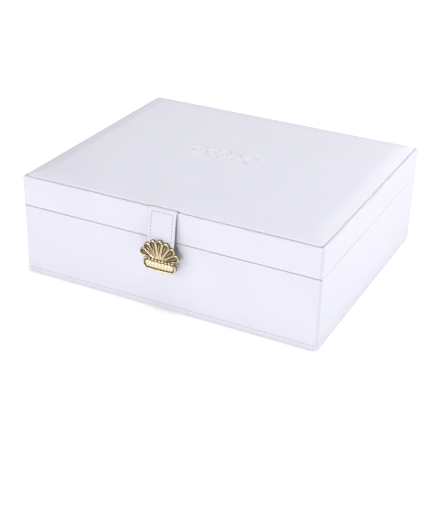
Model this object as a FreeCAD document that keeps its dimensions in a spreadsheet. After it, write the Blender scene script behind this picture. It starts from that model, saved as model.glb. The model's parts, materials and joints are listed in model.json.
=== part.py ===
"""Jewellery case with a hinged, padded lid, a strap clasp and two inner pull-out drawers.

A rectangular board carcass is wrapped in leatherette and lined with velvet-covered board.  The
lid turns on two butt hinges at the back.  A stitched strap hangs from under the lid's padded top
panel and carries a cast clasp with a magnet, which meets a steel keeper in the front wall.  Two
drawers run front to back on runners inside the case, above fixed compartments.

Frame: X is the width, -Y is the front, +Z is up; the origin is the centre of the resting face.
Units are millimetres.  Every size comes from the spreadsheet "Dims".
"""

import FreeCAD
import Part
import Sketcher
import math
import os

from FreeCAD import Placement, Rotation, Vector

SIZES = (
    ("case_width", 280.0, "outside width of case and lid"),
    ("case_depth", 234.0, "outside depth of case and lid"),
    ("seam_height", 66.0, "height of the parting line between case and lid"),
    ("seam_gap", 0.8, "open gap at the parting line"),
    ("lid_top_height", 93.0, "height of the lid box, without its pad"),
    ("corner_radius", 2.0, "outer radius of the upright corners"),
    ("edge_radius", 0.7, "outer radius of the cover along its horizontal edges"),
    ("skin", 1.0, "leatherette thickness"),
    ("board", 5.0, "wall board thickness"),
    ("bottom_thickness", 3.0, "bottom board thickness"),
    ("lid_board", 3.0, "lid top board thickness"),
    ("felt_height", 1.2, "felt sheet under the case"),
    ("felt_setback", 2.5, "felt sheet, distance inside the outline"),
    ("turn_in", 12.0, "width of leatherette turned in under the case"),
    ("lining", 1.0, "floor lining thickness"),
    ("liner", 2.0, "velvet-covered wall liner thickness"),
    ("lip_height", 4.0, "case liners stand this far above the parting line"),
    ("lip_rebate", 0.6, "clearance cut into the lip's outer side"),
    ("lip_clearance", 1.0, "gap between the lip's top and the lid's liners"),
    ("pad_height", 4.0, "crown of the padded panel above the lid box"),
    ("pad_edge_height", 1.2, "height of the padded panel's upright edge"),
    ("pad_setback", 2.0, "ledge left around the padded panel"),
    ("pad_slope", 15.0, "width of the padded panel's sloping border"),
    ("mirror_width", 216.0, "mirror glass width"),
    ("mirror_depth", 170.0, "mirror glass depth"),
    ("mirror_thickness", 2.0, "mirror glass thickness"),
    ("frame_thickness", 3.0, "mirror frame thickness"),
    ("frame_cover", 2.0, "how far the mirror frame laps over the glass"),
    ("runner_width", 5.0, "width of the side runners"),
    ("runner_top", 39.0, "height of the runners' sliding faces"),
    ("divider", 6.0, "thickness of the fixed centre divider"),
    ("slat", 4.0, "thickness of the fixed cross dividers"),
    ("drawer_width", 130.6, "outside width of a drawer"),
    ("drawer_depth", 106.0, "outside depth of a drawer"),
    ("drawer_height", 24.0, "outside height of a drawer"),
    ("drawer_wall", 3.0, "drawer wall thickness"),
    ("drawer_floor", 2.0, "drawer floor thickness"),
    ("drawer_gap", 0.6, "clearance beside and behind a drawer"),
    ("glide_gap", 0.2, "clearance between a drawer and its runners"),
    ("drawer_slat", 2.4, "thickness of the slats inside the right drawer"),
    ("roll_radius", 9.7, "radius of a ring roll"),
    ("roll_height", 16.0, "height of a ring roll above the drawer floor"),
    ("roll_count", 5.0, "ring rolls in the left drawer"),
    ("knob_radius", 4.5, "drawer knob head radius"),
    ("knob_reach", 8.0, "how far a drawer knob stands out"),
    ("hinge_offset", 85.0, "distance of each hinge from the middle"),
    ("hinge_length", 30.0, "length of a hinge leaf"),
    ("leaf_height", 11.5, "height of a hinge leaf's plate"),
    ("leaf_thickness", 1.0, "hinge leaf thickness"),
    ("barrel_radius", 2.1, "hinge barrel radius"),
    ("barrel_stand_off", 2.2, "hinge axis behind the back face"),
    ("pin_radius", 0.9, "hinge pin radius"),
    ("pin_clearance", 0.05, "radial clearance of the hinge pin"),
    ("knuckle_gap", 0.3, "gap between hinge knuckles"),
    ("knuckle_clearance", 0.4, "gap between barrel and the other leaf's plate"),
    ("lid_open_angle", 100.0, "angle at which the hinge stops the lid"),
    ("stop_length", 5.0, "reach of the hinge's stop lug from its axis"),
    ("stop_thickness", 1.3, "thickness of the stop lug"),
    ("stop_gap", 0.1, "gap left at the stop"),
    ("screw_spacing", 20.0, "distance between the two screws of a leaf"),
    ("screw_head_radius", 2.4, "countersunk head radius"),
    ("screw_shank_radius", 1.2, "screw shank radius"),
    ("screw_length", 4.5, "screw length under the leaf"),
    ("slot_width", 0.6, "width of a screw's slot"),
    ("slot_depth", 0.4, "depth of a screw's slot"),
    ("strap_width", 25.0, "strap width"),
    ("strap_thickness", 2.6, "strap thickness where it hangs"),
    ("strap_root_thickness", 0.9, "skived strap end under the padded panel"),
    ("strap_root_length", 16.0, "strap end held on top of the lid box"),
    ("strap_bend_height", 64.5, "height where the hanging strap turns upright"),
    ("strap_end_height", 41.8, "height of the strap's lower end"),
    ("strap_end_radius", 5.0, "radius of the strap's lower corners"),
    ("strap_air", 0.2, "gap between lid front and strap at its root"),
    ("strap_seam_start", 1.8, "distance from the strap's fold to its first stitches"),
    ("strap_seam_end", 67.2, "height where the strap's stitching ends"),
    ("clasp_height", 54.6, "height of the clasp magnet's axis"),
    ("keeper_radius", 7.0, "steel keeper radius"),
    ("keeper_proud", 1.2, "keeper face in front of the cover"),
    ("magnet_gap", 0.3, "gap between keeper and magnet cup"),
    ("cup_radius", 7.0, "magnet cup radius"),
    ("cup_depth", 2.5, "magnet cup depth"),
    ("magnet_radius", 5.6, "magnet radius"),
    ("magnet_depth", 1.8, "magnet thickness"),
    ("plate_thickness", 2.6, "clasp plate thickness"),
    ("band_width", 32.0, "clasp plate, width of its lower band"),
    ("band_low", 40.2, "clasp plate, lower edge of the band"),
    ("band_high", 50.6, "clasp plate, upper edge of the band"),
    ("fan_height", 49.1, "clasp plate, height of the point its flutes spread from"),
    ("fan_reach", 16.5, "clasp plate, distance from that point to the flutes' round tips"),
    ("flute_count", 7.0, "clasp plate, number of flutes"),
    ("flute_step", 22.0, "clasp plate, angle from flute to flute"),
    ("flute_radius", 3.4, "clasp plate, radius of a flute's tip"),
    ("groove_start", 5.0, "clasp plate, distance from the fan's point to its grooves"),
    ("groove_width", 0.7, "clasp plate, width of the grooves between flutes"),
    ("groove_depth", 1.1, "clasp plate, depth of those grooves"),
    ("rivet_depth", 0.6, "depth to which rivets enter the clasp plate"),
    ("rivet_offset", 9.6, "clasp rivets, distance from the middle"),
    ("rivet_height", 45.4, "clasp rivets, height of their axis"),
    ("rivet_radius", 1.2, "clasp rivet shank radius"),
    ("rivet_head_radius", 2.4, "clasp rivet head radius"),
    ("rivet_head_depth", 0.8, "thickness of a clasp rivet's head"),
    ("stitch_pitch", 3.0, "distance from stitch to stitch"),
    ("stitch_length", 2.1, "length of one stitch"),
    ("stitch_radius", 0.35, "radius of the thread"),
    ("stitch_sink", 0.2, "depth of a stitch's axis below the surface"),
    ("stitch_inset", 2.6, "strap stitches, distance from the strap's edge"),
    ("hem_height", 5.2, "height of the stitched hem along the front"),
    ("hem_margin", 2.2, "hem stitching, distance from the corners"),
)

doc = FreeCAD.newDocument("JewelleryCase")
sheet = doc.addObject("Spreadsheet::Sheet", "Dims")
for row, (alias, value, note) in enumerate(SIZES, start=1):
    sheet.set(f"A{row}", str(value))
    sheet.setAlias(f"A{row}", alias)
    sheet.set(f"B{row}", note)
doc.recompute()

HALF_WIDTH = "Dims.case_width / 2"
HALF_DEPTH = "Dims.case_depth / 2"
CASE_BOTTOM = "Dims.felt_height"
CASE_TOP = "(Dims.seam_height - Dims.seam_gap / 2)"
LID_BOTTOM = "(Dims.seam_height + Dims.seam_gap / 2)"
BOARD_BOTTOM = "(Dims.felt_height + Dims.skin)"
FLOOR_TOP = "(Dims.felt_height + Dims.skin + Dims.bottom_thickness)"
COMPARTMENT_FLOOR = f"({FLOOR_TOP} + Dims.lining)"
WALL = "(Dims.skin + Dims.board)"
LINED_WALL = "(Dims.skin + Dims.board + Dims.liner)"
LID_CEILING = "(Dims.lid_top_height - Dims.skin - Dims.lid_board)"
DRAWER_BOTTOM = "(Dims.runner_top + Dims.glide_gap)"
HINGE_Y = f"({HALF_DEPTH} + Dims.barrel_stand_off)"
CUP_FACE = "(Dims.keeper_proud + Dims.magnet_gap)"
STRAP_BACK = f"({CUP_FACE} + Dims.cup_depth)"
STRAP_FRONT = f"({STRAP_BACK} + Dims.strap_thickness)"
PLATE_FRONT = f"({STRAP_FRONT} + Dims.plate_thickness)"

nodes = []


def size(alias):
    """The spreadsheet's value for an alias, as a plain number."""
    return float(sheet.get(alias))


def node(piece, name):
    """Gives a finished sub-part its name and lists it for export."""
    piece.Label = name
    nodes.append(piece)
    return piece


def bind(piece, **expressions):
    """Binds properties to expressions; x, y and z stand for the placement's base."""
    for key, expression in expressions.items():
        path = f"Placement.Base.{key}" if key in ("x", "y", "z") else key
        piece.setExpression(path, expression)
    return piece


def part(kind, name, turn=None, **expressions):
    """A Part primitive of that kind, bound to expressions and turned to a fixed rotation."""
    piece = doc.addObject(f"Part::{kind}", name)
    if turn is not None:
        piece.Placement = Placement(Vector(), turn)
    return bind(piece, **expressions)


def box(name, length, width, height, x, y, z):
    """A box with its low corner at x, y, z."""
    return part("Box", name, Length=length, Width=width, Height=height, x=x, y=y, z=z)


def cut(name, base, *tools):
    """base with every tool taken away, one after the other."""
    for number, tool in enumerate(tools):
        result = doc.addObject("Part::Cut", f"{name}_cut_{number}")
        result.Base, result.Tool = base, tool
        base = result
    return base


def fuse(name, *pieces):
    """One solid made of touching pieces."""
    result = doc.addObject("Part::MultiFuse", f"{name}_fused")
    result.Shapes = list(pieces)
    result.Refine = True
    return result


def group(name, pieces):
    """Separate equal solids in one node."""
    result = doc.addObject("Part::Compound", f"{name}_group")
    result.Links = list(pieces)
    return node(result, name)


# ---- PartDesign helpers -------------------------------------------------------------------------

ALONG_Y = Rotation(Vector(1, 0, 0), -90)
ALONG_MINUS_Y = Rotation(Vector(1, 0, 0), 90)
ALONG_X = Rotation(Vector(0, 1, 0), 90)


def new_body(name):
    """An empty PartDesign body that becomes the node of that name."""
    return node(doc.addObject("PartDesign::Body", name), name)


def sketch_on(body, role, offset):
    """A sketch in one of the body's own origin planes, moved along the plane's normal."""
    plane = next(item for item in body.Origin.OriginFeatures if item.Role == role)
    sketch = body.newObject("Sketcher::SketchObject", f"{body.Name}_sketch")
    sketch.AttachmentSupport = [(plane, "")]
    sketch.MapMode = "FlatFace"
    sketch.setExpression("AttachmentOffset.Base.z", offset)
    return sketch


def add_size(sketch, kind, *where, expression):
    """A distance or radius constraint bound to an expression."""
    number = sketch.addConstraint(Sketcher.Constraint(kind, *where))
    sketch.setExpression(f"Constraints[{number}]", expression)


def add_rectangle(sketch, width, depth):
    """A rectangle centred on the sketch's origin, its two sizes bound to expressions."""
    first = sketch.GeometryCount
    reach = 10.0 + first
    corners = [Vector(-reach, -reach), Vector(reach, -reach), Vector(reach, reach), Vector(-reach, reach)]
    for number in range(4):
        sketch.addGeometry(Part.LineSegment(corners[number], corners[(number + 1) % 4]), False)
    for number in range(4):
        following = first + (number + 1) % 4
        sketch.addConstraint(Sketcher.Constraint("Coincident", first + number, 2, following, 1))
        kind = "Horizontal" if number % 2 == 0 else "Vertical"
        sketch.addConstraint(Sketcher.Constraint(kind, first + number))
    sketch.addConstraint(Sketcher.Constraint("Symmetric", first, 1, first + 1, 2, -1, 1))
    add_size(sketch, "DistanceX", first, 1, first, 2, 2 * reach, expression=width)
    add_size(sketch, "DistanceY", first + 1, 1, first + 1, 2, 2 * reach, expression=depth)


def add_circle(sketch, side, reach, height, radius):
    """A circle at side * reach across and at a height above the sketch's origin."""
    start = Vector(side * 10.0, 50.0, 0)
    circle = sketch.addGeometry(Part.Circle(start, Vector(0, 0, 1), 1.0), False)
    if side == 0:
        sketch.addConstraint(Sketcher.Constraint("PointOnObject", circle, 3, -2))
    elif side > 0:
        add_size(sketch, "DistanceX", -1, 1, circle, 3, 10.0, expression=reach)
    else:
        add_size(sketch, "DistanceX", circle, 3, -1, 1, 10.0, expression=reach)
    add_size(sketch, "DistanceY", -1, 1, circle, 3, 50.0, expression=height)
    add_size(sketch, "Radius", circle, 1.0, expression=radius)


def pad(body, height, length, *rectangles):
    """A pad of one rectangle, or of the ring between two, from a height upwards."""
    sketch = sketch_on(body, "XY_Plane", height)
    for width, depth in rectangles:
        add_rectangle(sketch, width, depth)
    feature = body.newObject("PartDesign::Pad", f"{body.Name}_pad")
    feature.Profile = sketch
    feature.setExpression("Length", length)
    doc.recompute()
    return feature


def pocket(body, sketch, length, forwards=False):
    """A pocket against the sketch's normal, or along it, which must cut something away."""
    before = body.Shape.Volume
    feature = body.newObject("PartDesign::Pocket", f"{body.Name}_pocket")
    feature.Profile = sketch
    feature.Reversed = forwards
    feature.setExpression("Length", length)
    doc.recompute()
    if body.Shape.Volume > before - 1.0:
        raise RuntimeError(f"a pocket of {body.Label} cuts nothing")
    return feature


def round_edges(body, radius, wanted):
    """Fillets every edge of the body that the test picks."""
    base = body.Tip
    names = [f"Edge{n}" for n, edge in enumerate(base.Shape.Edges, start=1) if wanted(edge)]
    feature = body.newObject("PartDesign::Fillet", f"{body.Name}_fillet")
    feature.Base = (base, names)
    feature.setExpression("Radius", radius)
    doc.recompute()
    return feature


def is_outer_upright(edge):
    """True for an upright edge at a corner of the case's outline."""
    corner = edge.CenterOfMass
    on_outline = (abs(abs(corner.x) - size("case_width") / 2) < 1e-3
                  and abs(abs(corner.y) - size("case_depth") / 2) < 1e-3)
    return is_upright(edge) and on_outline


def is_upright(edge):
    """True for an upright straight edge longer than a millimetre."""
    bounds = edge.BoundBox
    return bounds.ZLength > 1.0 and bounds.XLength < 1e-3 and bounds.YLength < 1e-3


def is_outline_at(height):
    """A test for edges of the case's outline at a height, its rounded corners included."""

    def test(edge):
        bounds = edge.BoundBox
        level = abs(bounds.ZMin - height) < 1e-3 and bounds.ZLength < 1e-3
        middle = edge.CenterOfMass
        outside_x = abs(middle.x) > size("case_width") / 2 - size("skin") / 2
        outside_y = abs(middle.y) > size("case_depth") / 2 - size("skin") / 2
        return level and (outside_x or outside_y)

    return test


# ---- Case ---------------------------------------------------------------------------------------

OUTLINE = ("Dims.case_width", "Dims.case_depth")
INSIDE_SKIN = ("Dims.case_width - 2 * Dims.skin", "Dims.case_depth - 2 * Dims.skin")
INSIDE_BOARDS = (f"Dims.case_width - 2 * {WALL}", f"Dims.case_depth - 2 * {WALL}")
INSIDE_LINERS = (f"Dims.case_width - 2 * {LINED_WALL}", f"Dims.case_depth - 2 * {LINED_WALL}")


def make_base_felt():
    """Felt sheet under the case, raised in the middle to meet the bottom board."""
    felt = new_body("base_felt")
    pad(felt, "0", "Dims.felt_height",
        ("Dims.case_width - 2 * Dims.felt_setback", "Dims.case_depth - 2 * Dims.felt_setback"))
    pad(felt, "Dims.felt_height", "Dims.skin",
        ("Dims.case_width - 2 * Dims.turn_in", "Dims.case_depth - 2 * Dims.turn_in"))


def make_case_cover():
    """Leatherette wrapped round the carcass and turned in at the top and the bottom."""
    cover = new_body("case_cover")
    height = f"{CASE_TOP} - {CASE_BOTTOM}"
    pad(cover, CASE_BOTTOM, height, OUTLINE, INSIDE_SKIN)
    pad(cover, CASE_BOTTOM, "Dims.skin", OUTLINE,
        ("Dims.case_width - 2 * Dims.turn_in", "Dims.case_depth - 2 * Dims.turn_in"))
    pad(cover, f"{CASE_TOP} - Dims.skin", "Dims.skin", OUTLINE, INSIDE_BOARDS)
    round_edges(cover, "Dims.corner_radius", is_outer_upright)
    top = size("seam_height") - size("seam_gap") / 2
    round_edges(cover, "Dims.edge_radius", is_outline_at(top))
    hole = sketch_on(cover, "XZ_Plane", f"{HALF_DEPTH} - 2 * Dims.skin")
    add_circle(hole, 0, "0", "Dims.clasp_height", "Dims.keeper_radius")
    pocket(cover, hole, "3 * Dims.skin", forwards=True)


def make_case_boards():
    """Carcass: side boards of full depth, front and back boards between them, and the bottom."""
    height = f"{CASE_TOP} - Dims.skin - {BOARD_BOTTOM}"
    side_depth = "Dims.case_depth - 2 * Dims.skin"
    between = f"Dims.case_width - 2 * {WALL}"
    side_y = f"-{HALF_DEPTH} + Dims.skin"
    node(box("left_board", "Dims.board", side_depth, height,
             f"-{HALF_WIDTH} + Dims.skin", side_y, BOARD_BOTTOM), "left_board")
    node(box("right_board", "Dims.board", side_depth, height,
             f"{HALF_WIDTH} - {WALL}", side_y, BOARD_BOTTOM), "right_board")
    node(box("front_board", between, "Dims.board", height,
             f"-{HALF_WIDTH} + {WALL}", side_y, BOARD_BOTTOM), "front_board")
    node(box("back_board", between, "Dims.board", height,
             f"-{HALF_WIDTH} + {WALL}", f"{HALF_DEPTH} - {WALL}", BOARD_BOTTOM), "back_board")
    node(box("bottom_board", between, INSIDE_BOARDS[1], "Dims.bottom_thickness",
             f"-{HALF_WIDTH} + {WALL}", f"-{HALF_DEPTH} + {WALL}", BOARD_BOTTOM), "bottom_board")


def make_case_liners():
    """Velvet-covered wall liners, which stand above the parting line as a locating lip."""
    height = f"Dims.seam_height + Dims.lip_height - {FLOOR_TOP}"
    rebate_z = f"{CASE_TOP} - Dims.skin"
    rebate_height = "Dims.lip_height + 3 * Dims.skin"
    long_run = f"Dims.case_width - 2 * {WALL}"
    short_run = f"Dims.case_depth - 2 * {LINED_WALL}"
    for side, sign in (("front", "-"), ("back", "+")):
        low_y = f"-{HALF_DEPTH} + {WALL}" if sign == "-" else f"{HALF_DEPTH} - {LINED_WALL}"
        cut_y = f"-{HALF_DEPTH} + {WALL}" if sign == "-" else f"{HALF_DEPTH} - {WALL} - Dims.lip_rebate"
        panel = box(f"{side}_liner_panel", long_run, "Dims.liner", height,
                    f"-{HALF_WIDTH} + {WALL}", low_y, FLOOR_TOP)
        along = box(f"{side}_liner_rebate", long_run, "Dims.lip_rebate", rebate_height,
                    f"-{HALF_WIDTH} + {WALL}", cut_y, rebate_z)
        ends = [box(f"{side}_liner_end_{end}", "Dims.lip_rebate", "Dims.liner", rebate_height,
                    x, low_y, rebate_z)
                for end, x in (("left", f"-{HALF_WIDTH} + {WALL}"),
                               ("right", f"{HALF_WIDTH} - {WALL} - Dims.lip_rebate"))]
        node(cut(f"{side}_liner", panel, along, *ends), f"{side}_liner")
    for side, sign in (("left", "-"), ("right", "+")):
        low_x = f"-{HALF_WIDTH} + {WALL}" if sign == "-" else f"{HALF_WIDTH} - {LINED_WALL}"
        cut_x = f"-{HALF_WIDTH} + {WALL}" if sign == "-" else f"{HALF_WIDTH} - {WALL} - Dims.lip_rebate"
        panel = box(f"{side}_liner_panel", "Dims.liner", short_run, height,
                    low_x, f"-{HALF_DEPTH} + {LINED_WALL}", FLOOR_TOP)
        along = box(f"{side}_liner_rebate", "Dims.lip_rebate", short_run, rebate_height,
                    cut_x, f"-{HALF_DEPTH} + {LINED_WALL}", rebate_z)
        node(cut(f"{side}_liner", panel, along), f"{side}_liner")


def make_compartments():
    """Floor lining, drawer runners and the fixed dividers under the drawers."""
    run = INSIDE_LINERS[1]
    low_y = f"-{HALF_DEPTH} + {LINED_WALL}"
    height = f"Dims.runner_top - {COMPARTMENT_FLOOR}"
    node(box("floor_lining", *INSIDE_LINERS, "Dims.lining",
             f"-{HALF_WIDTH} + {LINED_WALL}", low_y, FLOOR_TOP), "floor_lining")
    node(box("left_runner", "Dims.runner_width", run, height,
             f"-{HALF_WIDTH} + {LINED_WALL}", low_y, COMPARTMENT_FLOOR), "left_runner")
    node(box("right_runner", "Dims.runner_width", run, height,
             f"{HALF_WIDTH} - {LINED_WALL} - Dims.runner_width", low_y, COMPARTMENT_FLOOR), "right_runner")
    node(box("centre_divider", "Dims.divider", run, height,
             "-Dims.divider / 2", low_y, COMPARTMENT_FLOOR), "centre_divider")
    reach = f"({HALF_WIDTH} - {LINED_WALL} - Dims.runner_width - Dims.divider / 2)"
    node(box("left_cross_divider", reach, "Dims.slat", height,
             f"-Dims.divider / 2 - {reach}", "-Dims.slat / 2", COMPARTMENT_FLOOR), "left_cross_divider")
    node(box("right_cross_divider", reach, "Dims.slat", height,
             "Dims.divider / 2", "-Dims.slat / 2", COMPARTMENT_FLOOR), "right_cross_divider")
    half_run = f"({HALF_DEPTH} - {LINED_WALL} - Dims.slat / 2)"
    middle = f"(Dims.divider / 2 + {reach} / 2 - Dims.slat / 2)"
    node(box("front_short_divider", "Dims.slat", half_run, height,
             middle, f"-Dims.slat / 2 - {half_run}", COMPARTMENT_FLOOR), "front_short_divider")
    node(box("rear_short_divider", "Dims.slat", half_run, height,
             f"-{middle} - Dims.slat", "Dims.slat / 2", COMPARTMENT_FLOOR), "rear_short_divider")


def make_keeper():
    """Steel disc let into the cover, which the clasp's magnet meets."""
    keeper = part("Cylinder", "keeper_disc", ALONG_MINUS_Y, Radius="Dims.keeper_radius",
                  Height="Dims.skin + Dims.keeper_proud", y=f"-{HALF_DEPTH} + Dims.skin",
                  z="Dims.clasp_height")
    node(keeper, "magnet_keeper")


# ---- Lid ----------------------------------------------------------------------------------------


def make_lid_cover():
    """Leatherette over the lid's sides and top, turned in along the lower edge."""
    cover = new_body("lid_cover")
    pad(cover, LID_BOTTOM, f"Dims.lid_top_height - Dims.skin - {LID_BOTTOM}", OUTLINE, INSIDE_SKIN)
    pad(cover, LID_BOTTOM, "Dims.skin", OUTLINE, INSIDE_BOARDS)
    pad(cover, "Dims.lid_top_height - Dims.skin", "Dims.skin", OUTLINE)
    round_edges(cover, "Dims.corner_radius", is_outer_upright)
    round_edges(cover, "Dims.edge_radius", is_outline_at(size("seam_height") + size("seam_gap") / 2))
    round_edges(cover, "Dims.edge_radius", is_outline_at(size("lid_top_height")))


def make_lid_boards():
    """The lid's side boards and the top board that rests on them."""
    low = f"{LID_BOTTOM} + Dims.skin"
    height = f"{LID_CEILING} - {LID_BOTTOM} - Dims.skin"
    side_depth = "Dims.case_depth - 2 * Dims.skin"
    between = f"Dims.case_width - 2 * {WALL}"
    side_y = f"-{HALF_DEPTH} + Dims.skin"
    node(box("lid_left_board", "Dims.board", side_depth, height,
             f"-{HALF_WIDTH} + Dims.skin", side_y, low), "lid_left_board")
    node(box("lid_right_board", "Dims.board", side_depth, height,
             f"{HALF_WIDTH} - {WALL}", side_y, low), "lid_right_board")
    node(box("lid_front_board", between, "Dims.board", height,
             f"-{HALF_WIDTH} + {WALL}", side_y, low), "lid_front_board")
    node(box("lid_back_board", between, "Dims.board", height,
             f"-{HALF_WIDTH} + {WALL}", f"{HALF_DEPTH} - {WALL}", low), "lid_back_board")
    node(box("lid_top_board", *INSIDE_SKIN, "Dims.lid_board",
             f"-{HALF_WIDTH} + Dims.skin", side_y, LID_CEILING), "lid_top_board")


def make_lid_liners():
    """Velvet-covered liners inside the lid, above the case's lip."""
    low = "Dims.seam_height + Dims.lip_height + Dims.lip_clearance"
    height = f"{LID_CEILING} - ({low})"
    long_run = f"Dims.case_width - 2 * {WALL}"
    short_run = f"Dims.case_depth - 2 * {LINED_WALL}"
    node(box("lid_front_liner", long_run, "Dims.liner", height,
             f"-{HALF_WIDTH} + {WALL}", f"-{HALF_DEPTH} + {WALL}", low), "lid_front_liner")
    node(box("lid_back_liner", long_run, "Dims.liner", height,
             f"-{HALF_WIDTH} + {WALL}", f"{HALF_DEPTH} - {LINED_WALL}", low), "lid_back_liner")
    node(box("lid_left_liner", "Dims.liner", short_run, height,
             f"-{HALF_WIDTH} + {WALL}", f"-{HALF_DEPTH} + {LINED_WALL}", low), "lid_left_liner")
    node(box("lid_right_liner", "Dims.liner", short_run, height,
             f"{HALF_WIDTH} - {LINED_WALL}", f"-{HALF_DEPTH} + {LINED_WALL}", low), "lid_right_liner")


def make_mirror():
    """Mirror glass in a velvet-covered frame that laps over its edge."""
    frame = new_body("mirror_frame")
    low = f"{LID_CEILING} - Dims.frame_thickness"
    window = ("Dims.mirror_width - 2 * Dims.frame_cover", "Dims.mirror_depth - 2 * Dims.frame_cover")
    lap = "Dims.frame_thickness - Dims.mirror_thickness"
    pad(frame, low, lap, INSIDE_LINERS, window)
    pad(frame, f"{low} + {lap}", "Dims.mirror_thickness", INSIDE_LINERS,
        ("Dims.mirror_width", "Dims.mirror_depth"))
    node(box("mirror_glass", "Dims.mirror_width", "Dims.mirror_depth", "Dims.mirror_thickness",
             "-Dims.mirror_width / 2", "-Dims.mirror_depth / 2",
             f"{LID_CEILING} - Dims.mirror_thickness"), "mirror_glass")


def make_lid_pad():
    """Padded top panel: upright edge, sloping border and flat crown, relieved for the strap's end."""
    width = "Dims.case_width - 2 * Dims.pad_setback"
    depth = "Dims.case_depth - 2 * Dims.pad_setback"
    panel = doc.addObject("PartDesign::Body", "lid_pad_body")
    pad(panel, "Dims.lid_top_height", "Dims.pad_edge_height", (width, depth))
    loft = panel.newObject("PartDesign::AdditiveLoft", "lid_pad_crown")
    base = sketch_on(panel, "XY_Plane", "Dims.lid_top_height + Dims.pad_edge_height")
    add_rectangle(base, width, depth)
    crown = sketch_on(panel, "XY_Plane", "Dims.lid_top_height + Dims.pad_height")
    add_rectangle(crown, f"{width} - 2 * Dims.pad_slope", f"{depth} - 2 * Dims.pad_slope")
    loft.Profile = base
    loft.Sections = [crown]
    loft.Ruled = True
    doc.recompute()
    round_edges(panel, "Dims.corner_radius", is_upright)
    relief = box("strap_relief", "Dims.strap_width", "Dims.strap_root_length - Dims.pad_setback",
                 "Dims.strap_root_thickness", "-Dims.strap_width / 2", f"-{HALF_DEPTH} + Dims.pad_setback",
                 "Dims.lid_top_height")
    node(cut("lid_pad", panel, relief), "lid_pad")


# ---- Hinges -------------------------------------------------------------------------------------


def make_leaf(name, centre_x, upwards, knuckles):
    """A hinge leaf: plate on the back face, arms to its knuckles, pin bore and countersunk holes."""
    clear = "(Dims.barrel_radius + Dims.knuckle_clearance)"
    plate_z = f"Dims.seam_height + {clear}" if upwards else f"Dims.seam_height - {clear} - Dims.leaf_height"
    pieces = [box(f"{name}_plate", "Dims.hinge_length", "Dims.leaf_thickness", "Dims.leaf_height",
                  f"{centre_x} - Dims.hinge_length / 2", HALF_DEPTH, plate_z)]
    holes = []
    for number, (start, length) in enumerate(knuckles):
        arm_z = "Dims.seam_height" if upwards else f"Dims.seam_height - {clear}"
        low_x = f"{centre_x} + {start}"
        pieces.append(box(f"{name}_arm_{number}", length, "Dims.leaf_thickness", clear, low_x, HALF_DEPTH,
                          arm_z))
        pieces.append(part("Cylinder", f"{name}_knuckle_{number}", ALONG_X, Radius="Dims.barrel_radius",
                           Height=length, x=low_x, y=HINGE_Y, z="Dims.seam_height"))
    if upwards:
        pieces.append(stop_lug(name, centre_x, *knuckles[0]))
    holes.append(part("Cylinder", f"{name}_bore", ALONG_X, Radius="Dims.pin_radius + Dims.pin_clearance",
                      Height="Dims.hinge_length", x=f"{centre_x} - Dims.hinge_length / 2", y=HINGE_Y,
                      z="Dims.seam_height"))
    screw_z = f"{plate_z} + Dims.leaf_height / 2"
    for side in ("-", "+"):
        screw_x = f"{centre_x} {side} Dims.screw_spacing / 2"
        holes.append(part("Cone", f"{name}_sink_{'left' if side == '-' else 'right'}", ALONG_Y,
                          Radius1="Dims.screw_shank_radius", Radius2="Dims.screw_head_radius",
                          Height="Dims.leaf_thickness", x=screw_x, y=HALF_DEPTH, z=screw_z))
    node(cut(name, fuse(name, *pieces), *holes), name)


def stop_lug(name, centre_x, start, length):
    """A lug on the lid leaf's knuckle that meets the case leaf's plate when the lid is open."""
    tilt = size("lid_open_angle") - 90.0
    face = "(Dims.barrel_stand_off - Dims.leaf_thickness - Dims.stop_gap)"
    angle = "(Dims.lid_open_angle - 90)"
    return part("Box", f"{name}_stop", Rotation(Vector(1, 0, 0), tilt), Length=length,
                Width="Dims.stop_length", Height="Dims.stop_thickness", x=f"{centre_x} + {start}",
                y=f"{HINGE_Y} + {face} * sin({angle})", z=f"Dims.seam_height - {face} * cos({angle})")


def make_screws(name, upwards):
    """Countersunk wood screws of both leaves on one side of the parting line."""
    clear = "(Dims.barrel_radius + Dims.knuckle_clearance)"
    sign = "+" if upwards else "-"
    height = f"Dims.seam_height {sign} {clear} {sign} Dims.leaf_height / 2"
    screws = []
    for hinge in ("-", "+"):
        for side in ("-", "+"):
            x = f"0 {hinge} Dims.hinge_offset {side} Dims.screw_spacing / 2"
            label = f"{name}_{len(screws)}"
            head = part("Cone", f"{label}_head", ALONG_Y, Radius1="Dims.screw_shank_radius",
                        Radius2="Dims.screw_head_radius", Height="Dims.leaf_thickness",
                        x=x, y=HALF_DEPTH, z=height)
            shank = part("Cylinder", f"{label}_shank", ALONG_Y, Radius="Dims.screw_shank_radius",
                         Height="Dims.screw_length", x=x, y=f"{HALF_DEPTH} - Dims.screw_length", z=height)
            slot = box(f"{label}_slot", "2 * Dims.screw_head_radius", "Dims.slot_depth", "Dims.slot_width",
                       f"{x} - Dims.screw_head_radius",
                       f"{HALF_DEPTH} + Dims.leaf_thickness - Dims.slot_depth",
                       f"{height} - Dims.slot_width / 2")
            screws.append(cut(label, fuse(label, head, shank), slot))
    group(name, screws)


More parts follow.
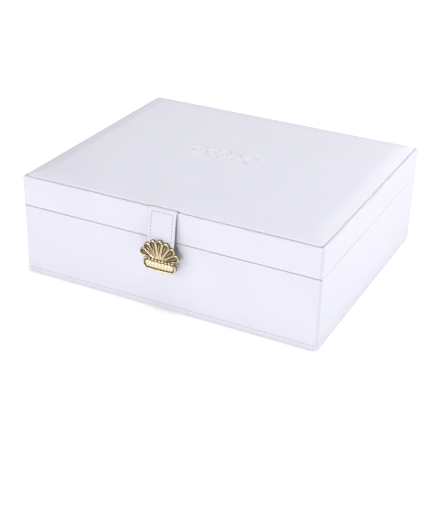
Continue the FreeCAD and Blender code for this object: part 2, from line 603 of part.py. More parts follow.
def make_hinges():
    """Two three-knuckle butt hinges with loose pins."""
    third = "(Dims.hinge_length / 3 - Dims.knuckle_gap / 2)"
    ends = (("-Dims.hinge_length / 2", third), (f"Dims.hinge_length / 2 - {third}", third))
    middle = (("-Dims.hinge_length / 6 + Dims.knuckle_gap / 2", "Dims.hinge_length / 3 - Dims.knuckle_gap"),)
    for side, sign in (("left", "-"), ("right", "")):
        centre_x = f"{sign}Dims.hinge_offset"
        make_leaf(f"{side}_hinge_case_leaf", centre_x, False, ends)
        make_leaf(f"{side}_hinge_lid_leaf", centre_x, True, middle)
        pin = part("Cylinder", f"{side}_pin_rod", ALONG_X, Radius="Dims.pin_radius",
                   Height="Dims.hinge_length", x=f"{centre_x} - Dims.hinge_length / 2", y=HINGE_Y,
                   z="Dims.seam_height")
        node(pin, f"{side}_hinge_pin")
    make_screws("case_hinge_screws", False)
    make_screws("lid_hinge_screws", True)


# ---- Strap and clasp ----------------------------------------------------------------------------


def out(distance):
    """Y of a point that far in front of the front face."""
    return f"-{HALF_DEPTH} - ({distance})"


HANG = (f"{HALF_DEPTH} + Dims.strap_air + Dims.strap_thickness / 2", "Dims.lid_top_height")
BEND = (f"{HALF_DEPTH} + {STRAP_BACK} + Dims.strap_thickness / 2", "Dims.strap_bend_height")
FOOT = (f"{HALF_DEPTH} + {STRAP_BACK} + Dims.strap_thickness / 2", "Dims.strap_end_height")


def make_strap():
    """The skived end held on the lid box, and the hanging strap with its fixing holes."""
    node(box("strap_end", "Dims.strap_width", "Dims.strap_root_length", "Dims.strap_root_thickness",
             "-Dims.strap_width / 2", f"-{HALF_DEPTH}", "Dims.lid_top_height"), "strap_root")
    strap = new_body("strap")
    profile = sketch_on(strap, "YZ_Plane", "-Dims.strap_width / 2")
    add_strap_profile(profile)
    hanging = strap.newObject("PartDesign::Pad", "strap_run")
    hanging.Profile = profile
    hanging.setExpression("Length", "Dims.strap_width")
    doc.recompute()
    holes = sketch_on(strap, "XZ_Plane", HALF_DEPTH)
    for side in (-1, 1):
        add_circle(holes, side, "Dims.rivet_offset", "Dims.rivet_height", "Dims.rivet_radius")
    add_circle(holes, 0, "0", "Dims.clasp_height", "Dims.rivet_radius")
    pocket(strap, holes, f"{STRAP_FRONT} + Dims.strap_thickness", forwards=True)
    round_edges(strap, "Dims.strap_end_radius", is_strap_corner)


def is_strap_corner(edge):
    """True for the two edges at the strap's lower corners."""
    bounds = edge.BoundBox
    level = bounds.ZLength < 1e-3 and abs(bounds.ZMin - size("strap_end_height")) < 1e-3
    return level and bounds.XLength < 1e-3


def add_strap_profile(sketch):
    """The strap seen from its side: a leaning run, an upright run and a round top at the fold."""
    outline = []
    for face, way in (("-", (HANG, BEND, FOOT)), ("+", (FOOT, BEND, HANG))):
        outline += [(f"{reach} {face} Dims.strap_thickness / 2", height) for reach, height in way]
    # Starting coordinates near the final ones; the constraints set the real ones.
    half = size("strap_thickness") / 2
    hang_y, bend_y = -size("case_depth") / 2 - 1.0, -size("case_depth") / 2 - 5.0
    heights = [size(name) for name in ("lid_top_height", "strap_bend_height", "strap_end_height")]
    start = [Vector(y + half, z, 0) for y, z in zip((hang_y, bend_y, bend_y), heights)]
    start += [Vector(y - half, z, 0) for y, z in zip((bend_y, bend_y, hang_y), reversed(heights))]
    for number in range(5):
        sketch.addGeometry(Part.LineSegment(start[number], start[number + 1]), False)
        if number:
            sketch.addConstraint(Sketcher.Constraint("Coincident", number - 1, 2, number, 1))
    circle = Part.Circle(Vector(hang_y, heights[0], 0), Vector(0, 0, 1), half)
    arc = sketch.addGeometry(Part.ArcOfCircle(circle, 0.0, math.pi), False)
    sketch.addConstraint(Sketcher.Constraint("Coincident", arc, 1, 0, 1))
    sketch.addConstraint(Sketcher.Constraint("Coincident", arc, 2, 4, 2))
    add_size(sketch, "DistanceY", -1, 1, arc, 3, heights[0], expression=HANG[1])
    for number, (reach, height) in enumerate(outline):
        line, end = (number, 1) if number < 5 else (4, 2)
        add_size(sketch, "DistanceX", line, end, -1, 1, -start[number].x, expression=reach)
        if number != 0:
            add_size(sketch, "DistanceY", -1, 1, line, end, start[number].y, expression=height)


def make_clasp():
    """Cast plate: a fan of round-tipped flutes, grooved between them, over a band with round ends."""
    band_radius = "(Dims.band_high - Dims.band_low) / 2"
    middle = "(Dims.band_high + Dims.band_low) / 2"
    front = out(PLATE_FRONT)
    solids = [box("band_bar", f"Dims.band_width - 2 * {band_radius}", "Dims.plate_thickness",
                  "Dims.band_high - Dims.band_low", f"-(Dims.band_width / 2 - {band_radius})",
                  front, "Dims.band_low")]
    solids += [part("Cylinder", f"band_end_{side}", ALONG_Y, Radius=band_radius,
                    Height="Dims.plate_thickness",
                    x=f"0 {sign} (Dims.band_width / 2 - {band_radius})", y=front, z=middle)
               for side, sign in (("left", "-"), ("right", "+"))]
    count = int(size("flute_count"))
    for number in range(count):
        steps = number - (count - 1) / 2
        solids.append(ray(f"flute_{number}", steps, "0", "Dims.fan_reach", "2 * Dims.flute_radius",
                          "Dims.plate_thickness"))
        solids.append(part("Cylinder", f"flute_{number}_tip", ALONG_Y, Radius="Dims.flute_radius",
                           Height="Dims.plate_thickness", y=front,
                           x=f"Dims.fan_reach * sin({steps} * Dims.flute_step)",
                           z=f"Dims.fan_height + Dims.fan_reach * cos({steps} * Dims.flute_step)"))
    grooves = [ray(f"groove_{number}", number - count / 2, "Dims.groove_start",
                   "Dims.fan_reach + Dims.flute_radius - Dims.groove_start", "Dims.groove_width",
                   "Dims.groove_depth")
               for number in range(1, count)]
    blind_holes = [part("Cylinder", f"plate_hole_{number}", ALONG_MINUS_Y, Radius="Dims.rivet_radius",
                        Height="Dims.rivet_depth", x=x, y=out(STRAP_FRONT), z=z)
                   for number, (x, z) in enumerate((("-Dims.rivet_offset", "Dims.rivet_height"),
                                                    ("Dims.rivet_offset", "Dims.rivet_height"),
                                                    ("0", "Dims.clasp_height")))]
    node(cut("clasp", fuse("clasp", *solids), *grooves, *blind_holes), "clasp_plate")


def ray(name, steps, start, length, width, depth):
    """A bar in the clasp plate's front, pointing away from the fan's point at that many steps."""
    angle = f"({steps} * Dims.flute_step)"
    turn = Rotation(Vector(0, 1, 0), steps * size("flute_step"))
    return part("Box", name, turn, Length=width, Width=depth, Height=length,
                x=f"({start}) * sin({angle}) - ({width}) / 2 * cos({angle})", y=out(PLATE_FRONT),
                z=f"Dims.fan_height + ({start}) * cos({angle}) + ({width}) / 2 * sin({angle})")


def make_clasp_fixings():
    """Rivets, magnet cup with its post, and the magnet in the cup."""
    rivets = []
    for side, sign in (("left", "-"), ("right", "")):
        x = f"{sign}Dims.rivet_offset"
        shank = part("Cylinder", f"{side}_rivet_shank", ALONG_MINUS_Y, Radius="Dims.rivet_radius",
                     Height="Dims.strap_thickness + Dims.rivet_depth", x=x, y=out(STRAP_BACK),
                     z="Dims.rivet_height")
        head = part("Cone", f"{side}_rivet_head", ALONG_MINUS_Y, Radius1="Dims.rivet_radius",
                    Radius2="Dims.rivet_head_radius", Height="Dims.rivet_head_depth", x=x,
                    y=out(f"{STRAP_BACK} - Dims.rivet_head_depth"), z="Dims.rivet_height")
        rivets.append(fuse(f"{side}_rivet", shank, head))
    group("clasp_rivets", rivets)
    cup = part("Cylinder", "cup_blank", ALONG_MINUS_Y, Radius="Dims.cup_radius", Height="Dims.cup_depth",
               y=out(CUP_FACE), z="Dims.clasp_height")
    hollow = part("Cylinder", "cup_hollow", ALONG_MINUS_Y, Radius="Dims.magnet_radius",
                  Height="Dims.magnet_depth", y=out(CUP_FACE), z="Dims.clasp_height")
    post = part("Cylinder", "cup_post", ALONG_MINUS_Y, Radius="Dims.rivet_radius",
                Height="Dims.strap_thickness + Dims.rivet_depth", y=out(STRAP_BACK), z="Dims.clasp_height")
    node(cut("magnet_cup", fuse("magnet_cup", cup, post), hollow), "magnet_cup")
    magnet = part("Cylinder", "magnet_disc", ALONG_MINUS_Y, Radius="Dims.magnet_radius",
                  Height="Dims.magnet_depth", y=out(CUP_FACE), z="Dims.clasp_height")
    node(magnet, "clasp_magnet")


# ---- Stitching ----------------------------------------------------------------------------------


def stitch_row(start, end):
    """Evenly spaced stitches from start to end, each a short rod."""
    along = end - start
    count = max(1, round(along.Length / size("stitch_pitch")))
    step = along / count
    half = Vector(along).normalize() * (size("stitch_length") / 2)
    middles = [start + step * (number + 0.5) for number in range(count)]
    return [Part.makeCylinder(size("stitch_radius"), size("stitch_length"), middle - half, half)
            for middle in middles]


def make_stitching():
    """The strap's stitched border and the stitched hem along the case's front."""
    front = -size("case_depth") / 2
    half = size("strap_thickness") / 2
    stand_off = sum(size(name) for name in ("keeper_proud", "magnet_gap", "cup_depth"))
    hang = Vector(0, front - size("strap_air") - half, size("lid_top_height"))
    bend = Vector(0, front - stand_off - half, size("strap_bend_height"))
    run = (bend - hang).normalize()
    outward = Vector(0, run.z, -run.y) * (half - size("stitch_sink"))
    side = Vector(size("strap_width") / 2 - size("stitch_inset"), 0, 0)
    top = hang + outward + run * size("strap_seam_start")
    low = top + run * ((top.z - size("strap_seam_end")) / -run.z)
    rows = stitch_row(top - side, low - side) + stitch_row(top + side, low + side)
    rows += stitch_row(top - side, top + side)
    thread("strap_stitching", rows)
    reach = size("case_width") / 2 - size("hem_margin")
    hem_y = front + size("stitch_sink")
    thread("hem_stitching", stitch_row(Vector(-reach, hem_y, size("hem_height")),
                                       Vector(reach, hem_y, size("hem_height"))))


def thread(name, stitches):
    """A node made of separate stitches."""
    piece = doc.addObject("Part::Feature", f"{name}_thread")
    piece.Shape = Part.makeCompound(stitches)
    node(piece, name)


# ---- Drawers ------------------------------------------------------------------------------------

DRAWER_X = "(Dims.drawer_gap + Dims.drawer_width / 2)"
DRAWER_Y = f"({HALF_DEPTH} - {LINED_WALL} - Dims.drawer_gap - Dims.drawer_depth / 2)"
DRAWER_INNER_WIDTH = "(Dims.drawer_width - 2 * Dims.drawer_wall)"
DRAWER_INNER_DEPTH = "(Dims.drawer_depth - 2 * Dims.drawer_wall)"
DRAWER_FLOOR_TOP = f"({DRAWER_BOTTOM} + Dims.drawer_floor)"


def make_drawer(side, sign):
    """An open drawer box and the knob on its front wall."""
    tray = new_body(f"{side}_drawer_box")
    pad(tray, DRAWER_BOTTOM, "Dims.drawer_height", ("Dims.drawer_width", "Dims.drawer_depth"))
    mouth = sketch_on(tray, "XY_Plane", f"{DRAWER_BOTTOM} + Dims.drawer_height")
    add_rectangle(mouth, DRAWER_INNER_WIDTH, DRAWER_INNER_DEPTH)
    pocket(tray, mouth, "Dims.drawer_height - Dims.drawer_floor")
    bind(tray, x=f"{sign}{DRAWER_X}", y=DRAWER_Y)
    front_y = f"{DRAWER_Y} - Dims.drawer_depth / 2"
    height = f"{DRAWER_BOTTOM} + Dims.drawer_height / 2"
    x = f"{sign}{DRAWER_X}"
    foot = part("Cone", f"{side}_knob_foot", ALONG_MINUS_Y, Radius1="Dims.knob_radius * 0.8",
                Radius2="Dims.knob_radius * 0.45", Height="Dims.knob_reach * 0.4", x=x, y=front_y, z=height)
    neck = part("Cylinder", f"{side}_knob_neck", ALONG_MINUS_Y, Radius="Dims.knob_radius * 0.45",
                Height="Dims.knob_reach * 0.6", x=x, y=front_y, z=height)
    ball = part("Ellipsoid", f"{side}_knob_head", ALONG_MINUS_Y, Radius1="Dims.knob_reach * 0.35",
                Radius2="Dims.knob_radius", Radius3="Dims.knob_radius", x=x,
                y=f"{front_y} - Dims.knob_reach * 0.65", z=height)
    node(fuse(f"{side}_knob", foot, neck, ball), f"{side}_drawer_knob")


def make_ring_rolls():
    """Foam ring rolls side by side in the left drawer, flat below and round on top."""
    rolls = []
    low_x = f"-{DRAWER_X} - {DRAWER_INNER_WIDTH} / 2"
    centre_z = f"{DRAWER_FLOOR_TOP} + Dims.roll_height - Dims.roll_radius"
    for number in range(int(size("roll_count"))):
        centre_y = (f"{DRAWER_Y} - {DRAWER_INNER_DEPTH} / 2 + {DRAWER_INNER_DEPTH}"
                    f" * ({number} + 0.5) / Dims.roll_count")
        round_top = part("Cylinder", f"roll_{number}_round", ALONG_X, Radius="Dims.roll_radius",
                         Height=DRAWER_INNER_WIDTH, x=low_x, y=centre_y, z=centre_z)
        lower = box(f"roll_{number}_lower", DRAWER_INNER_WIDTH, "2 * Dims.roll_radius",
                    "Dims.roll_height - Dims.roll_radius", low_x, f"{centre_y} - Dims.roll_radius",
                    DRAWER_FLOOR_TOP)
        under = box(f"roll_{number}_under", DRAWER_INNER_WIDTH, "4 * Dims.roll_radius",
                    "2 * Dims.roll_radius", low_x, f"{centre_y} - 2 * Dims.roll_radius",
                    f"{DRAWER_FLOOR_TOP} - 2 * Dims.roll_radius")
        rolls.append(cut(f"roll_{number}", fuse(f"roll_{number}", round_top, lower), under))
    group("ring_rolls", rolls)


def make_drawer_slats():
    """One long and two short slats that divide the right drawer into six."""
    height = "Dims.drawer_height - Dims.drawer_floor - 4"
    low_x = f"{DRAWER_X} - {DRAWER_INNER_WIDTH} / 2"
    node(box("drawer_long_slat", DRAWER_INNER_WIDTH, "Dims.drawer_slat", height, low_x,
             f"{DRAWER_Y} - Dims.drawer_slat / 2", DRAWER_FLOOR_TOP), "right_drawer_long_slat")
    run = f"({DRAWER_INNER_DEPTH} / 2 - Dims.drawer_slat / 2)"
    slats = []
    for number in (1, 2):
        x = f"{low_x} + {DRAWER_INNER_WIDTH} * {number} / 3 - Dims.drawer_slat / 2"
        for half, y in (("front", f"{DRAWER_Y} - Dims.drawer_slat / 2 - {run}"),
                        ("rear", f"{DRAWER_Y} + Dims.drawer_slat / 2")):
            slats.append(box(f"{half}_slat_{number}", "Dims.drawer_slat", run, height, x, y,
                             DRAWER_FLOOR_TOP))
    group("right_drawer_short_slats", slats)


# ---- Assembly -----------------------------------------------------------------------------------


def check_document():
    """Stops if any object failed, or a sub-part has no sound solid."""
    doc.recompute()
    for item in doc.Objects:
        if {"Invalid", "Error"} & set(item.State):
            raise RuntimeError(f"{item.Label} did not build: {item.State}")
    for piece in nodes:
        shape = piece.Shape
        if shape.isNull() or not shape.isValid() or not shape.Solids:
            raise RuntimeError(f"{piece.Label} has no sound solid")


def main():
    make_base_felt()
    make_case_cover()
    make_case_boards()
    make_case_liners()
    make_compartments()
    make_keeper()
    make_lid_cover()
    make_lid_boards()
    make_lid_liners()
    make_mirror()
    make_lid_pad()
    make_hinges()
    make_strap()
    make_clasp()
    make_clasp_fixings()
    make_stitching()
    make_drawer("left", "-")
    make_drawer("right", "")
    make_ring_rolls()
    make_drawer_slats()
    check_document()
    os.makedirs("parts", exist_ok=True)
    for piece in nodes:
        piece.Shape.exportStep(os.path.join("parts", f"{piece.Label}.step"))


main()
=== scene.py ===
"""Looks of the jewellery case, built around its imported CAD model.  Lengths are in metres."""

import json
import math

import bmesh
import bpy
import numpy as np
from mathutils import Matrix, Vector


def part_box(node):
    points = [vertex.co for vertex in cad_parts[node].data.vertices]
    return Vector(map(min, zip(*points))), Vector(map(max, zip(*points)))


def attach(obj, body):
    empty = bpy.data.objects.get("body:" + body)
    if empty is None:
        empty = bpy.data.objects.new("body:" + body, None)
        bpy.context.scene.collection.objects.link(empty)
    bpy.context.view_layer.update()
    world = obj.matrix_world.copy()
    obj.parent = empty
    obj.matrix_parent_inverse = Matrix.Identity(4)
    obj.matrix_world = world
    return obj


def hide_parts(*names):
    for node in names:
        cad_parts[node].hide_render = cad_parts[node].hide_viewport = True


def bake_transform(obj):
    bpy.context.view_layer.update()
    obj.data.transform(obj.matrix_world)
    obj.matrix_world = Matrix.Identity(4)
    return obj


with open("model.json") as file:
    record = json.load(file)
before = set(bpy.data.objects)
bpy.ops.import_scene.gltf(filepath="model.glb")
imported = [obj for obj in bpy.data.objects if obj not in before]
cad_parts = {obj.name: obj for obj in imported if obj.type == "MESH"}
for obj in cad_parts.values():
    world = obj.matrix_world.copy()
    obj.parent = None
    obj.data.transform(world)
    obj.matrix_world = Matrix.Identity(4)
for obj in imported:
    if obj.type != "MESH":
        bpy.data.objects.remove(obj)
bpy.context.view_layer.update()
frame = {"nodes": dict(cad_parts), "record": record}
MM = 0.001

CASE_LOW, CASE_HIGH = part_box("case_cover")
LID_LOW, LID_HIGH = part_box("lid_cover")
PAD_LOW, PAD_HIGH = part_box("lid_pad")
STRAP_LOW, STRAP_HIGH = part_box("strap")
PLATE_LOW, PLATE_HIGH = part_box("clasp_plate")
HEM_LOW, HEM_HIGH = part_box("hem_stitching")
HALF_WIDTH, HALF_DEPTH = CASE_HIGH.x, CASE_HIGH.y
CORNER_RADIUS = 2.2 * MM
STITCH_PITCH = 3.0 * MM
SEAM_CLOSER = 0.19 * MM
SEAM_HEIGHT = (CASE_HIGH.z + LID_LOW.z) / 2
HEM_HEIGHT = (HEM_LOW.z + HEM_HIGH.z) / 2
HEM_REACH = HALF_WIDTH - 2.2 * MM
HEM_STITCHES = round(2 * HEM_REACH / STITCH_PITCH)


# ---- Small helpers ----


def smoothstep(low, high, value):
    """0 below low, 1 above high, and a smooth rise between; works on arrays."""
    share = np.clip((np.asarray(value, float) - low) / (high - low), 0.0, 1.0)
    return share * share * (3.0 - 2.0 * share)


def link_object(name, data):
    """An object with that mesh, light or camera, put in the scene."""
    piece = bpy.data.objects.new(name, data)
    bpy.context.scene.collection.objects.link(piece)
    return piece


def new_object(name, vertices, faces):
    """A smooth mesh object made of vertices and faces."""
    mesh = bpy.data.meshes.new(name)
    mesh.from_pydata([tuple(v) for v in vertices], [], [tuple(f) for f in faces])
    mesh.validate()
    mesh.update()
    mesh.polygons.foreach_set("use_smooth", [True] * len(mesh.polygons))
    return link_object(name, mesh)


def bmesh_object(name, bm):
    """A mesh object made of a bmesh, which is freed."""
    mesh = bpy.data.meshes.new(name)
    bm.to_mesh(mesh)
    bm.free()
    return link_object(name, mesh)


def grid_faces(rows, columns, close_rows=False, close_columns=False):
    """Quads of a grid of vertices numbered row by row."""
    faces = []
    for row in range(rows if close_rows else rows - 1):
        following_row = (row + 1) % rows
        for column in range(columns if close_columns else columns - 1):
            following = (column + 1) % columns
            faces.append((row * columns + column, row * columns + following,
                          following_row * columns + following, following_row * columns + column))
    return faces


def tube_faces(rows, columns):
    """Quads of a tube of closed vertex rings, and one face at each end."""
    ends = [tuple(range(columns)), tuple(range((rows - 1) * columns, rows * columns))]
    return grid_faces(rows, columns, close_columns=True) + ends


def outward(piece):
    """Turns all faces of a closed mesh outwards."""
    bm = bmesh.new()
    bm.from_mesh(piece.data)
    bmesh.ops.recalc_face_normals(bm, faces=bm.faces)
    bm.to_mesh(piece.data)
    bm.free()
    return piece


def sharpen(piece, degrees):
    """Smooth shading, broken where faces meet at more than that angle."""
    piece.data.polygons.foreach_set("use_smooth", [True] * len(piece.data.polygons))
    piece.data.set_sharp_from_angle(angle=math.radians(degrees))


def set_all(target, settings):
    """Sets attributes by name."""
    for key, value in settings.items():
        setattr(target, key, value)


def finish_piece(piece, body, slot, material, *replaced):
    """Gives a piece its material, the body it rides on and the nodes it stands for; the slot argument is not
    used.
    """
    piece.data.materials.clear()
    piece.data.materials.append(material)
    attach(piece, body)
    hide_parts(*replaced)


def apply_modifier(piece, kind, **settings):
    """Adds a modifier and replaces the piece's mesh with what it gives."""
    set_all(piece.modifiers.new(kind.lower(), kind), settings)
    bpy.context.view_layer.update()
    graph = bpy.context.evaluated_depsgraph_get()
    mesh = bpy.data.meshes.new_from_object(piece.evaluated_get(graph))
    old = piece.data
    piece.modifiers.clear()
    piece.data = mesh
    bpy.data.meshes.remove(old)


def blow_up(piece, **settings):
    """The points of a mesh after 20 frames as cloth, under inner pressure and without gravity."""
    cloth = piece.modifiers.new("cloth", "CLOTH").settings
    cloth.use_pressure = True
    cloth.uniform_pressure_force = 4.0
    cloth.effector_weights.gravity = 0.0
    set_all(cloth, settings)
    for number in range(1, 21):
        bpy.context.scene.frame_set(number)
    result = piece.evaluated_get(bpy.context.evaluated_depsgraph_get()).to_mesh()
    points = np.empty(len(result.vertices) * 3)
    result.vertices.foreach_get("co", points)
    piece.modifiers.clear()
    bpy.context.scene.frame_set(1)
    return points.reshape(-1, 3)


# ---- Materials ----


class Shader:
    """A Principled material whose patterns are built from object coordinates."""

    def __init__(self, name, **sockets):
        self.material = bpy.data.materials.new(name)
        self.material.use_nodes = True
        self.tree = self.material.node_tree
        self.shader = self.tree.nodes["Principled BSDF"]
        for socket, value in sockets.items():
            self.shader.inputs[socket.replace("_", " ")].default_value = value
        self.coordinates = self.tree.nodes.new("ShaderNodeTexCoord").outputs["Object"]

    def node(self, kind, inputs, **settings):
        """A node with its settings and inputs; an input may be a value or another node's output."""
        made = self.tree.nodes.new(kind)
        set_all(made, settings)
        for key, value in inputs.items():
            if isinstance(value, bpy.types.NodeSocket):
                self.tree.links.new(value, made.inputs[key])
            else:
                made.inputs[key].default_value = value
        return made

    def axes(self):
        """The object coordinates as separate X, Y and Z outputs."""
        return self.node("ShaderNodeSeparateXYZ", {"Vector": self.coordinates}).outputs

    def stretched(self, *scale):
        """Object coordinates scaled unevenly."""
        return self.node("ShaderNodeMapping", {"Vector": self.coordinates, "Scale": scale}).outputs["Vector"]

    def noise(self, scale, detail=3.0, roughness=0.55, vector=None):
        """Noise from 0 to 1."""
        return self.node("ShaderNodeTexNoise", {"Vector": vector or self.coordinates, "Scale": scale,
                                                "Detail": detail, "Roughness": roughness}).outputs["Fac"]

    def math(self, operation, first, second=0.0):
        """Two values combined."""
        return self.node("ShaderNodeMath", {0: first, 1: second}, operation=operation).outputs[0]

    def times(self, first, second):
        return self.math("MULTIPLY", first, second)

    def spread(self, value, low, high, to_low=0.0, to_high=1.0):
        """value rescaled from low..high to to_low..to_high."""
        return self.node("ShaderNodeMapRange", {"Value": value, "From Min": low, "From Max": high,
                                                "To Min": to_low, "To Max": to_high}).outputs["Result"]

    def blend(self, factor, first, second):
        """A colour between two, by a factor; the first may be another node's output."""
        if not isinstance(first, bpy.types.NodeSocket):
            first = (*first, 1.0)
        return self.node("ShaderNodeMix", {0: factor, 6: first, 7: (*second, 1.0)},
                         data_type="RGBA").outputs[2]

    def link(self, output, socket):
        self.tree.links.new(output, self.shader.inputs[socket])

    def bump(self, height, strength, depth):
        """Bump of a height pattern; depth is the pattern's full height in metres."""
        bump = self.node("ShaderNodeBump", {"Height": height, "Strength": strength, "Distance": depth})
        self.link(bump.outputs["Normal"], "Normal")


def darker(tone, share):
    """A colour with that share of its brightness."""
    return tuple(value * share for value in tone)


def make_leatherette(name, tone=(0.70, 0.698, 0.775), gloss=0.42, painted_shade=None):
    """Smooth white leatherette with fine grain; the optional last argument gives where shade is painted on it
    and by how much it is darker.
    """
    shader = Shader(name, IOR=1.46, Coat_Weight=0.06, Coat_Roughness=0.3)
    color = shader.blend(shader.spread(shader.noise(22.0, 4.0), 0.3, 0.7), darker(tone, 0.975), tone)
    if painted_shade:
        # Painted shade: the colour is darkened where the given function places it.
        place, share = painted_shade(shader)
        color = shader.blend(place, color, darker(tone, share))
    shader.link(color, "Base Color")
    shine = shader.spread(shader.noise(160.0, 4.0), 0.3, 0.7, gloss - 0.04, gloss + 0.07)
    shader.link(shine, "Roughness")
    pebbles = shader.node("ShaderNodeTexVoronoi", {"Vector": shader.coordinates, "Scale": 1350.0,
                                                   "Smoothness": 0.75}, feature="SMOOTH_F1")
    pores, folds = shader.noise(5200.0, 2.0), shader.noise(420.0, 3.0)
    fine = shader.math("ADD", shader.times(pores, 0.22), shader.times(folds, 0.35))
    height = shader.math("ADD", shader.times(pebbles.outputs["Distance"], 0.8), fine)
    shader.bump(height, 0.32, 0.06 * MM)
    return shader.material


def painted_corner_shade(shader):
    """Painted shade: the covers are a little darker along their upright corners."""
    place = 0.85
    for axis, half in (("X", HALF_WIDTH), ("Y", HALF_DEPTH)):
        away = shader.math("ABSOLUTE", shader.axes()[axis])
        place = shader.times(shader.spread(away, half - 2.2 * MM, half - 0.9 * MM), place)
    return place, 0.92


def painted_crease_shade(shader):
    """Painted shade: the padded panel is dark where its lower edge lies in the crease, most at the sides and
    strap.
    """
    x, y, z = shader.axes()
    sideways = shader.math("ABSOLUTE", x)
    over_strap = shader.times(shader.spread(sideways, 14.6 * MM, 12.0 * MM),
                              shader.spread(y, 10.0 * MM, -10.0 * MM))
    height = shader.math("SUBTRACT", z, shader.times(over_strap, 0.7 * MM))
    foot = PAD_LOW.z + 0.7 * MM
    deep = shader.spread(sideways, PAD_HIGH.x - 2.5 * MM, PAD_HIGH.x - 1.2 * MM, 0.42, 1.0)
    place = shader.times(shader.spread(height, foot, foot - 0.25 * MM),
                         shader.math("MAXIMUM", deep, over_strap))
    return place, 0.42


def make_velvet(name, tone):
    """Short-pile velvet: brushed patches, fibre bump and sheen."""
    shader = Shader(name, Sheen_Weight=0.55, Sheen_Roughness=0.4, Sheen_Tint=(0.95, 0.94, 1.0, 1.0),
                    Specular_IOR_Level=0.2)
    patches = shader.spread(shader.noise(38.0, 5.0, 0.6, shader.stretched(1.0, 1.6, 1.0)), 0.35, 0.65)
    shader.link(shader.blend(patches, darker(tone, 0.86), tone), "Base Color")
    shader.link(shader.spread(patches, 0.0, 1.0, 0.82, 0.95), "Roughness")
    pile = shader.math("ADD", shader.noise(6500.0, 2.0), shader.times(shader.noise(900.0, 3.0), 0.6))
    shader.bump(pile, 0.5, 0.12 * MM)
    return shader.material


def make_metal(name, tone, roughness, brushed=0.0):
    """Plated metal: faint wear in colour and polish, and optional brushing."""
    shader = Shader(name, Metallic=1.0)
    wear = shader.spread(shader.noise(260.0, 5.0, 0.65), 0.3, 0.75)
    shader.link(shader.blend(wear, darker(tone, 0.93), tone), "Base Color")
    polish = shader.spread(shader.noise(900.0, 4.0), 0.25, 0.75, roughness * 0.75, roughness * 1.5)
    shader.link(polish, "Roughness")
    lines = shader.noise(70.0, 6.0, 0.7, shader.stretched(1.0, 60.0, 60.0))
    height = shader.math("ADD", shader.times(lines, brushed), shader.noise(1500.0, 3.0))
    shader.bump(height, 0.12, 0.03 * MM)
    return shader.material


def make_cast_gold():
    """Pale cast gold, polished on its raised parts, with painted shade in its recesses."""
    shader = Shader("cast_gold", Metallic=1.0)
    raised = shader.spread(shader.axes()["Y"], PLATE_HIGH.y - 1.0 * MM, PLATE_HIGH.y - 1.9 * MM)
    wear = shader.spread(shader.noise(420.0, 5.0, 0.65), 0.3, 0.75, 0.88, 1.0)
    polish = shader.times(raised, wear)
    # Painted shade: the recesses get a dark brown colour and the raised parts pale gold.
    shader.link(shader.blend(polish, (0.2, 0.15, 0.085), (0.76, 0.66, 0.46)), "Base Color")
    shader.link(shader.spread(polish, 0.0, 1.0, 0.42, 0.2), "Roughness")
    shader.bump(shader.noise(1300.0, 4.0), 0.14, 0.04 * MM)
    return shader.material


def make_mirror():
    """Silvered glass with faint smears."""
    shader = Shader("mirror_silver", Metallic=1.0)
    smears = shader.spread(shader.noise(30.0, 6.0, 0.6, shader.stretched(1.0, 3.0, 1.0)), 0.45, 0.8)
    shader.link(shader.blend(smears, (0.90, 0.92, 0.93), (0.86, 0.89, 0.90)), "Base Color")
    shader.link(shader.spread(smears, 0.0, 1.0, 0.015, 0.05), "Roughness")
    return shader.material


def make_thread(name, tone):
    """Twisted sewing thread."""
    shader = Shader(name, Roughness=0.6, Sheen_Weight=0.2)
    twist = shader.node("ShaderNodeTexWave", {"Vector": shader.coordinates, "Scale": 900.0,
                                              "Distortion": 0.4}, bands_direction="DIAGONAL")
    shader.link(shader.blend(twist.outputs["Fac"], darker(tone, 0.8), tone), "Base Color")
    shader.bump(twist.outputs["Fac"], 0.6, 0.08 * MM)
    return shader.material


def make_fibrous(name, fibre_scale, stretch, tones, bump, depth, **sockets):
    """Matt matter of loose fibres, between two tones."""
    shader = Shader(name, **sockets)
    fibres = shader.noise(*fibre_scale, shader.stretched(*stretch))
    shader.link(shader.blend(shader.spread(fibres, 0.3, 0.7), *tones), "Base Color")
    shader.bump(fibres, bump, depth)
    return shader.material


# The covers carry painted shade along their upright corners.
LEATHERETTE = make_leatherette("white_leatherette", painted_shade=painted_corner_shade)
# The padded panel carries painted shade in the crease at its foot.
PANEL_LEATHER = make_leatherette("panel_leatherette", painted_shade=painted_crease_shade)
STRAP_LEATHER = make_leatherette("strap_leatherette", (0.695, 0.693, 0.77), 0.46)
# Near-black velvet on the strap's back: painted shade of the gap between the strap and the case.
STRAP_GAP_SHADE = make_velvet("strap_gap_painted_shade", (0.05, 0.05, 0.055))
VELVET = make_velvet("grey_velvet", (0.60, 0.585, 0.625))
GOLD = make_metal("pale_gold", (0.72, 0.61, 0.42), 0.17)
STEEL = make_metal("nickel_steel", (0.62, 0.62, 0.63), 0.28, 0.6)
CAST_GOLD = make_cast_gold()
MIRROR = make_mirror()
HEM_THREAD = make_thread("sewing_thread", (0.64, 0.64, 0.70))
# A darker copy of the sewing thread: painted shade of the stitch holes along the strap.
STRAP_THREAD_SHADED = make_thread("strap_thread_painted_shade", (0.43, 0.43, 0.47))
FIBREBOARD = make_fibrous("fibreboard", (700.0, 6.0, 0.7), (1.0, 1.0, 4.0),
                          ((0.30, 0.22, 0.14), (0.46, 0.35, 0.24)), 0.4, 0.1 * MM, Roughness=0.85)
FELT = make_fibrous("base_felt_grey", (1800.0, 5.0, 0.75), (1.0, 1.0, 1.0),
                    ((0.30, 0.30, 0.32), (0.42, 0.42, 0.44)), 0.7, 0.2 * MM, Roughness=0.95, Sheen_Weight=0.3)


# ---- Covers ----


def spaced(low, high, step):
    """Even positions from low to high, about a step apart, without the end."""
    count = max(1, round((high - low) / step))
    return [low + (high - low) * number / count for number in range(count)]


